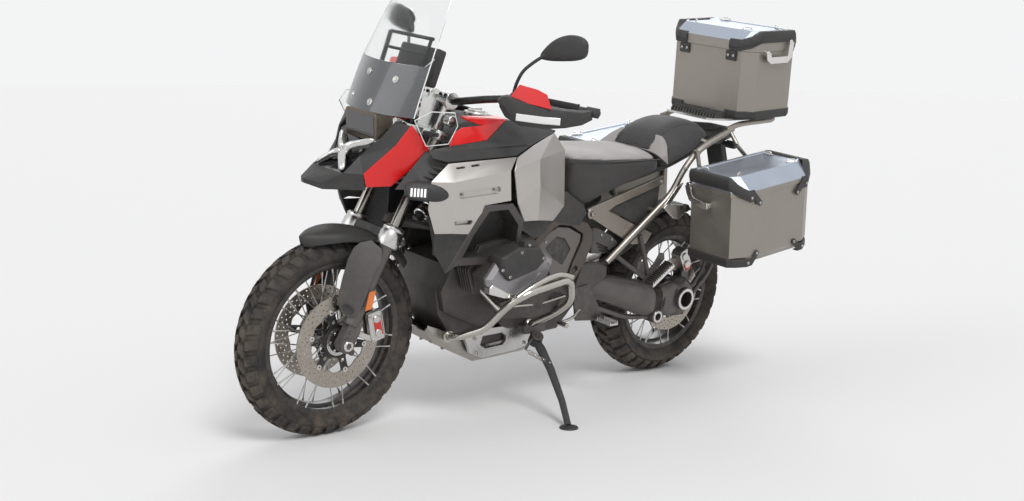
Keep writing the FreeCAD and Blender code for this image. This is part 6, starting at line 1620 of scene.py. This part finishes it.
# ------------------------------------------------------------------ swingarm and final drive
# A hollow single-sided arm widens into a ribbed boot and the bevel-drive housing, whose axle is an
# open tube.  The rear caliper hangs above it on a short bracket.
def box_ring(x, y0, y1, z0, z1, radius, steps=4):
    """A cross section at x: an upright rectangle with rounded corners."""
    line = []
    for cy, cz, start in ((y1 - radius, z1 - radius, 0), (y0 + radius, z1 - radius, 90), (y0 + radius, z0 +
            radius, 180), (y1 - radius, z0 + radius, 270)):
        for i in range(steps + 1):
            a = radians(start + 90 * i / steps)
            line.append((x, cy + radius * cos(a), cz + radius * sin(a)))
    return line


swing_grey = finish("swingarm_grey", (0.115, 0.108, 0.104), 0.42, metal=0.6, shade=0.12, relief=0.00025,
    bare=(0.36, 0.35, 0.34), wear=0.3, dust=0.3)
arm_rings = [box_ring(*row) for row in ((-236, 66, 142, 392, 466, 26), (-252, 62, 148, 384, 474, 30), (-330,
    66, 158, 356, 454, 34), (-430, 84, 168, 320, 438, 40), (-520, 96, 171, 286, 420, 44), (-575, 97, 168, 266,
    402, 46), (-604, 99, 162, 262, 388, 44), (-612, 104, 156, 270, 380, 40))]
made("swingarm", [lofted(arm_rings)], swing_grey, "frame_black", soft=1, replaces=["swingarm"])
made("swingarm_cross", [lofted([[(x, y, z) for x, z in ((-316, 392), (-252, 392), (-248, 400), (-248, 456),
    (-254, 464), (-314, 464), (-318, 456), (-318, 400))] for y in (-148, 70)]), bar((-275, -150, 432), (-275,
    150, 432), 20, 28)], swing_grey, "frame_black", bevel=4)
boot_at, boot_way = Vector((-604, 130, 325)), Vector((-1, 0, -0.1)).normalized()
boot_profile = [(0.1, 62), (40, 62)]
for i in range(4):
    boot_profile += [(47 - i * 0.5, 58 - 14 * i), (56 - i * 0.5, 52 - 14 * i), (56 - i * 0.5, 50 - 14 * i)]
boot_profile += [(46, 4), (40, 0), (0.1, 0)]
boot = turned(boot_profile, boot_at, boot_way, 40, False)
squash = [Vector((v[0], 130 + (v[1] - 130) * 0.56, v[2])) for v in boot[0]]
made("drive_boot", [(squash, boot[1])], rubber, "dark_plastic")
house = [turned([(30, 168), (42, 168), (44, 165), (45, 152), (58, 147), (72, 134), (79, 114), (79, 98), (74,
    94), (30, 94)], REAR_AXLE, LEFT, 64)]
neck_rings = [box_ring(*row) for row in ((-646, 104, 156, 272, 376, 24), (-668, 100, 160, 262, 382, 28),
    (-700, 97, 158, 254, 388, 30), (-735, 96, 150, 256, 386, 26))]
house += [lofted(neck_rings)]
link_at = (-629, 128, 266)
house += [turned([(14, 30), (24, 30), (27, 27), (27, -20), (14, -20)], link_at, LEFT, 28)]
house += [bar((-640, 126, 262), (-700, 126, 280), 20, 24)]
house += [bolt(REAR_AXLE + Vector((66 * cos(a), 140, 66 * sin(a))), LEFT, 6, 5) for a in turns(9, 0.4)]
house += [slab([REAR_AXLE + Vector((x, 98, z)) for x, z in ((-20, 70), (-60, 60), (-64, 118), (-30, 124))],
    (0, 12, 0))]
made("final_drive", house, swing_grey, "frame_black", bevel=3, steps=3)
made("axle_ring", [turned([(31, 168.6), (41, 168.6), (43, 166), (41, 160), (31, 160)], REAR_AXLE, LEFT, 64),
    turned([(15, 31), (22, 31), (24, 28), (22, 24), (15, 24)], link_at, LEFT, 28)], plated, "satin_aluminium")
made("torque_link", [tube([(-629, 128, 264), (-500, 120, 268), (-330, 112, 330)], 10, 80, 14)], swing_grey,
    "frame_black")
grip_at = Vector((-800, 92, 459))
lean_back = Matrix.Rotation(radians(118), 3, "Y")
shell = [prism([(-44, -22), (30, -24), (44, -14), (46, 12), (30, 22), (-34, 24), (-46, 8)], -26, 24)]
shell += [bar((-20, 20, 0), (-20, 30, 0), 15, 24), bar((16, 20, 0), (16, 30, 0), 15, 24)]
made("rear_caliper", [set_at(one, lean_back, grip_at) for one in shell], satin_alloy, "satin_aluminium",
    bevel=3, steps=3, replaces=["rear_caliper"])
made("rear_caliper_patch", [set_at(slab([(10, 25, -18), (38, 25, -14), (40, 25, 14), (8, 25, 20)], (0, 3, 0)),
    lean_back, grip_at)], caliper_red, "red_paint", bevel=1.5)
made("caliper_bracket", [slab([(-780, 70, 420), (-842, 70, 424), (-830, 70, 380), (-790, 70, 372)], (0, 20,
    0)), bolt((-800, 92, 400), LEFT, 7, 6)], switch_black, "frame_black", bevel=2)

# ------------------------------------------------------------------ rear frame, rack and tail
# A forged bronze triangle and two bright tubes carry the seats; the tubes sweep up round the pad as
# grab rails and on to the rack.  The tail holds the lamp and the blank plate.
triangle = [(-196, 715), (-206, 686), (-236, 672), (-440, 566), (-512, 562), (-540, 600), (-302, 700), (-330,
    716), (-575, 786), (-570, 815), (-222, 722)]
forged_bronze = finish("forged_bronze", (0.3, 0.27, 0.235), 0.36, metal=0.8, shade=0.08, relief=0.00012,
    bare=(0.5, 0.47, 0.43), wear=0.3, dust=0.1)
made("frame_triangles", pair([prism(triangle, 148, 162), turned([(9, 4), (17, 4), (20, 1), (20, -10), (9,
    -10)], (-217, 161, 697), LEFT, 28)]), forged_bronze, "frame_paint", bevel=4, steps=3,
    replaces=["rear_subframe"])
made("triangle_panels", pair([prism([(-316, 704), (-500, 618), (-560, 660), (-566, 780)], 138, 152)]),
    moulded, "dark_plastic", bevel=3)
strut_line = [(-301, 176, 515), (-470, 177, 645), (-600, 179, 746), (-652, 181, 838), (-705, 182, 896), (-775,
    181, 932), (-915, 168, 978)]
rail_bronze = finish("rail_bronze", (0.34, 0.31, 0.275), 0.38, metal=0.9, shade=0.06, relief=0.00006)
made("grab_rails", pair([tube(strut_line, 11.5, 50, 16), bar((-770, 150, 936), (-775, 184, 930), 9, 12),
    bar((-520, 150, 690), (-524, 180, 690), 9, 12)]), rail_bronze, "frame_paint")
# A thin dark tube just inside each bright strut gives the shaded band beside it: painted shade.
strut_shade_line = [(-330, 168, 520), (-480, 168, 630), (-606, 170, 728)]
made("inner_struts", pair([tube(strut_shade_line, 10, 30, 12), tube([(-150, 118, 742), (-330, 128, 786), (-620, 128,
    848), (-905, 120, 946)], 13, 40, 14)]), moulded, "frame_black")
joints = [bolt(p, LEFT, 8, 6) for p in ((-217, 166, 697), (-432, 162, 590), (-560, 162, 792), (-652, 191,
    842))]
made("frame_bolts", pair(joints), screw_steel, "tube_steel")
made("side_covers", pair([skin([(-24, 188, 742), (-66, 178, 792), (-165, 172, 735), (-186, 169, 702), (-160,
    168, 662), (-20, 172, 690), (-100, 184, 728)], [(0, 1, 6), (1, 2, 6), (2, 3, 6), (3, 4, 6), (4, 5, 6), (5,
    0, 6)], 8)]), moulded, "dark_plastic", bevel=2, replaces=["side_covers"])
rack_line = [(-880, 168, 975), (-950, 168, 996), (-1165, 156, 1004), (-1212, 110, 1010), (-1225, 0, 1011),
    (-1212, -110, 1010), (-1165, -156, 1004), (-950, -168, 996), (-880, -168, 975)]
made("rack_rail", [tube(rack_line, 10.5, 40, 16)], rail_bronze, "frame_paint", replaces=["luggage_rack"])
deck = [(-838, 96), (-852, 118), (-930, 138), (-1172, 138), (-1188, 120), (-1188, -120), (-1172, -138), (-930,
    -138), (-852, -118), (-838, -96)]
slots = [[(-900 - 46 * i, 92), (-884 - 46 * i, 92), (-884 - 46 * i, 24), (-900 - 46 * i, 24)] for i in
    range(6)]
slots += [[(x, -y) for x, y in reversed(one)] for one in slots]
made("rack_plate", [pierced([deck] + slots, 0, 7, Vector((0, 0, 1004)), (AHEAD, LEFT, UP))], satin_alloy,
    "satin_aluminium", bevel=1.6)
ribs = [prism([(-866, 1006), (-872, 1024), (-912, 1034), (-936, 1034), (-936, 1006)], y - 3.5, y + 3.5) for y
    in range(-112, 128, 15)]
ribs.append(prism([(-880, 1006), (-900, 1030), (-936, 1033), (-936, 1006)], -116, 116))
made("case_cradle", ribs, moulded, "dark_plastic", bevel=1.2, steps=1)
tail_rows = []
for x, half, low, high in ((-800, 92, 912, 948), (-846, 100, 900, 958), (-960, 86, 898, 966), (-1036, 66, 910,
        962), (-1046, 60, 920, 956)):
    tail_rows.append([(x, y, z) for y, z in ((half, low + 12), (half, high - 16), (half - 14, high), (-half +
        14, high), (-half, high - 16), (-half, low + 12), (-half + 20, low), (half - 20, low))])
made("tail_body", [lofted(tail_rows), lofted([[(x, y, z) for x in (a, a - 34) for y in ((40, -40) if x == a
    else (-40, 40))] for a, z in ((-996, 916), (-1040, 800), (-1114, 690), (-1121, 628))])], moulded,
    "dark_plastic", bevel=5, steps=3, replaces=["tail"])
red_lens = finish("red_lens", (0.5, 0.01, 0.01), 0.12, shade=0.02, relief=0.0, coat=0.8)
made("tail_lamp", [slab([(-1046, y, z) for y, z in ((-58, 924), (-52, 954), (52, 954), (58, 924))], (-14, 0,
    0))], red_lens, "red_paint", bevel=3)
lean_plate = [(-1148, 730), (-1152, 730), (-1178, 560), (-1174, 560)]
plate_white = finish("plate_white", (0.7, 0.7, 0.68), 0.4, shade=0.03, relief=0.0)
made("plate_board", [prism([(x + 5, z) for x, z in lean_plate], -97, 97)], moulded, "dark_plastic", bevel=1.5)
made("blank_plate", [prism([(-1152, 724), (-1154, 724), (-1178.5, 566), (-1176.5, 566)], -90, 90)],
    plate_white, "silver_paint", bevel=0.8)
stalk = [turned([(0.1, 118), (12, 116), (15, 106), (15, 72), (9, 66), (8, 30)], (-1010, 0, 900), LEFT, 20,
    False)]
made("rear_indicators", pair(stalk), moulded, "dark_plastic", bevel=1)
made("indicator_lenses", pair([turned([(0.1, 4), (9, 3), (12, 0), (12, -1)], (-1025, 94, 900), (-1, 0, 0), 20,
    False)]), amber, "red_paint")
hug = []
for i in range(20):
    a = radians(30 + 78 * i / 19)
    out = Vector((cos(a), 0, sin(a)))
    edge = 1.0 if 2 < i < 17 else 0.86
    hug.append([REAR_AXLE + out * r + LEFT * (y * edge) for r, y in ((331, 62), (340, 60), (347, 44), (350,
        20), (350.5, 0), (350, -20), (347, -44), (340, -60), (331, -62))])
thickened(made("rear_mudguard", [grid(hug)], moulded, "dark_plastic", soft=1, replaces=["rear_mudguard"]), 3)
legs = [tube([(-838, 118, 348), (-905, 122, 428), (-914, 104, 540), (-866, 62, 640)], 13, 60, 14, (15, 11),
    0.6), tube([(-852, 122, 330), (-938, 132, 424), (-950, 112, 540), (-884, 60, 634)], 13, 60, 14, (16, 11),
    0.6), tube([(-300, 95, 470), (-420, 95, 500), (-520, 90, 545), (-560, 62, 590)], 8, 60, 12)]
made("mudguard_legs", legs, grey_moulding, "dark_plastic")

# ------------------------------------------------------------------ case carriers and exhaust
# Each side case hangs on a bright tubular hoop with forged clips.  On the right the header pipes meet
# in a tapered silencer under a drilled shield.
hoop = [(-690, 204, 905), (-702, 226, 806), (-714, 243.7, 745), (-740, 243.7, 640), (-1010, 243.7, 672),
    (-1012, 243.7, 780), (-1004, 226, 838), (-905, 204, 925)]
made("case_carriers", pair([tube(hoop, 8, 26, 14), bar((-700, 182, 903), (-694, 210, 903), 8), bar((-900, 166,
    974), (-906, 206, 926), 8)]), rail_bronze, "tube_steel", replaces=["case_carriers"])
clips = [slab([(-541, 196, 704), (-556, 196, 716), (-640, 214, 712), (-648, 214, 690), (-612, 210, 660),
    (-590, 206, 662)], (0, 9, 0)), slab([(-612, 184, 776), (-547, 184, 700), (-575, 184, 696), (-650, 184,
    790)], (0, 10, 0))]
made("carrier_clips", pair(clips), satin_alloy, "satin_aluminium", bevel=3)
made("clip_knobs", pair([turned([(0.1, 14), (12, 14), (15, 10), (15, -2)], (-634, 223, 703), LEFT, 20,
    False)]), switch_black, "dark_plastic", bevel=1)
pipe_steel = finish("exhaust_steel", (0.34, 0.3, 0.26), 0.3, metal=1.0, shade=0.18, relief=0.0001,
    shade_scale=14, rough_play=0.1, dust=0.1)
header = [(330, -262, 470), (330, -240, 420), (250, -196, 330), (20, -190, 300), (-200, -185, 300), (-352,
    -178, 332)]
made("header_pipe", [tube(header, 20, 60, 24), turned([(20, 8), (30, 8), (30, -4), (20, -4)], (330, -260,
    466), (0, -0.4, 0.9), 28)], pipe_steel, "exhaust_steel", replaces=["exhaust"])
can_rows = []
for x, y0, y1, z0, z1 in ((-350, -206, -140, 300, 364), (-366, -230, -130, 292, 374), (-500, -238, -130, 316,
        402), (-770, -243, -130, 372, 464), (-794, -240, -132, 378, 466)):
    can_rows.append(box_ring(x, y0, y1, z0, z1, (z1 - z0) * 0.42, 6))
made("silencer", [lofted(can_rows)], satin_alloy, "exhaust_steel", bevel=2)
made("silencer_end", [lofted([box_ring(-793, -234, -136, 384, 462, 32, 6), box_ring(-802, -228, -142, 390,
    456, 30, 6)]), turned([(19, 8), (23, 8), (23, -16), (19, -16)], (-798, -186, 424), (-1, 0, 0.1), 28)],
    switch_black, "dark_plastic", bevel=1.5)
shield = [lofted([[(x, y, z) for y, z in ((-241 - d, z0), (-244 - d, z0 + 26), (-244 - d, z0 + 44), (-241 - d,
    z0 + 66), (-236, z0 + 66), (-236, z0))] for x, z0, d in ((-470, 316, 0), (-484, 312, 1), (-700, 362, 1),
    (-716, 370, 0))])]
made("silencer_shield", shield + [bolt((x, -243, z), (0, -1, 0), 6, 3) for x, z in ((-492, 350), (-694,
    398))], moulded, "dark_plastic", bevel=1.5)

# ------------------------------------------------------------------ footrests, levers and side stand
# Cast plates hold the rider's toothed pegs; welded brackets carry the passenger's folded ones.  The
# stand swings on its own bracket, with a return spring.
peg_plate = [(-150, 430), (-230, 440), (-305, 330), (-280, 300), (-180, 310)]
made("peg_plates", pair([prism(peg_plate, 165, 174), bar((-286, 174, 312), (-286, 196, 312), 12, 20)]),
    engine_grey, "frame_black", bevel=2.5, replaces=["footrests"])
teeth = [prism([(-306, 304), (-266, 304), (-266, 312), (-306, 312)], 186, 262)]
for i in range(9):
    y = 190 + 8.2 * i
    for x in (-306, -272):
        teeth.append(prism([(x, 311), (x + 6, 311), (x + 4, 320), (x + 2, 320)], y, y + 5))
made("rider_pegs", pair(teeth), satin_alloy, "satin_aluminium", bevel=0.8, steps=1)
lever = [tube([(-200, 168, 352), (-150, 190, 330), (-80, 196, 322), (-74, 196, 324)], 5.4, 30, 12), bar((-76,
    194, 323), (-74, 240, 324), 9, 16)]
made("foot_levers", pair(lever), bar_steel, "tube_steel", bevel=0.6)
vee = [tube([(-474, 166, 600), (-506, 170, 510), (-538, 176, 424)], 9, 0, 12), tube([(-346, 166, 539), (-440,
    170, 480), (-536, 176, 420)], 9, 0, 12)]
vee += [prism([(-474, 500), (-518, 496), (-536, 424), (-520, 428), (-470, 470)], 163, 171), prism([(-520,
    440), (-536, 432), (-606, 500), (-600, 522), (-580, 526)], 172, 180)]
made("rear_peg_brackets", pair(vee), grey_moulding, "frame_black", bevel=2)
fold, peg_at = Matrix.Rotation(radians(34), 3, "Y"), (-552, 194, 460)
rear_peg = [set_at(prism([(-60, -8), (60, -8), (60, 2), (-60, 2)], -6, 30), fold, peg_at)]
bright = [set_at(prism([(-62, -16), (62, -16), (62, -6), (-62, -6)], 22, 34), fold, peg_at)]
for i in range(13):
    bright.append(set_at(prism([(-60 + 9.4 * i, -6), (-55 + 9.4 * i, -6), (-56 + 9.4 * i, 1), (-59 + 9.4 * i,
        1)], 22, 34), fold, peg_at))
ribbed = [set_at(prism([(-58 + 9.4 * i, 1), (-52 + 9.4 * i, 1), (-53 + 9.4 * i, 9), (-57 + 9.4 * i, 9)], -4,
    24), fold, peg_at) for i in range(13)]
made("passenger_pegs", pair(rear_peg + ribbed), rubber, "dark_plastic", bevel=1)
made("passenger_peg_edges", pair(bright), bright_metal, "satin_aluminium", bevel=0.6, steps=1)
stand_at = Vector((15, 182, 272))
floor_up = (PARK.to_3x3().inverted() @ UP).normalized()
foot_at = Vector((96, 470, 0))
foot_at.z -= (PARK @ foot_at).z / (PARK.to_3x3() @ UP).z
down = (foot_at - stand_at).normalized()
hinge = down.cross(Vector((-0.98, 0.2, -0.02))).normalized()
broad = down.cross(hinge)
leg = []
for share, wide, deep in ((0.03, 15, 9), (0.1, 19, 11), (0.35, 16, 11), (0.7, 13, 10), (0.97, 12, 10)):
    at = stand_at.lerp(foot_at, share) + broad * (-16 * sin(pi * share))
    leg.append([at + broad * wide * cos(a) + hinge * deep * sin(a) for a in turns(8, 0.5)])
eye = turned([(8.3, 9), (22, 9), (24, 7), (24, -7), (22, -9), (8.3, -9)], stand_at, hinge, 32)
sole = turned([(0.1, 9), (20, 9), (30, 6), (32, 3), (32, 0), (0.1, 0)], foot_at, floor_up, 32, False)
made("side_stand", [lofted(leg), eye, sole], switch_black, "frame_black", "side_stand", bevel=2.5, steps=2,
    replaces=["side_stand"])
stand_lug = [bar(stand_at - hinge * 22, stand_at + hinge * 22, 7.8, 20), *(turned([(9, 11 * s), (20, 11 * s),
    (22, 13 * s), (22, 21 * s), (9, 21 * s)], stand_at, hinge, 28) for s in (-1, 1)), lofted([[stand_at +
    hinge * h + Vector((x, 0, z)) for x, z in ((-24, 34), (22, 34), (16, 2), (-16, 2))] for h in (-20, -12)]),
    prism([(-30, 292), (64, 292), (70, 322), (-34, 330)], 138, 176)]
made("stand_bracket", stand_lug, engine_grey, "frame_black", bevel=2.5, replaces=["stand_bracket"])
spring_foot = stand_at.lerp(foot_at, 0.3) + broad * -13 + hinge * 8
spring_head = stand_at + Vector((52, 6, -30))
pull = (spring_head - spring_foot).normalized()
coil = spring(spring_foot + pull * 16, spring_head - pull * 14, 6.5, 1.5, 13)
hooks = [bar(spring_foot, spring_foot + pull * 17, 2.2, 10), bar(spring_head - pull * 15, spring_head, 2.2,
    10)]
peg = bar(spring_foot - hinge * 10, spring_foot + hinge * 5, 3.5, 14)
made("spring_lug", [tube([stand_at + Vector((8, 6, 12)), stand_at + Vector((34, 6, -6)), spring_head - pull *
    2], 5, 14, 10)], engine_grey, "frame_black")
made("stand_spring", [coil, peg] + hooks, bar_steel, "tube_steel", "side_stand")
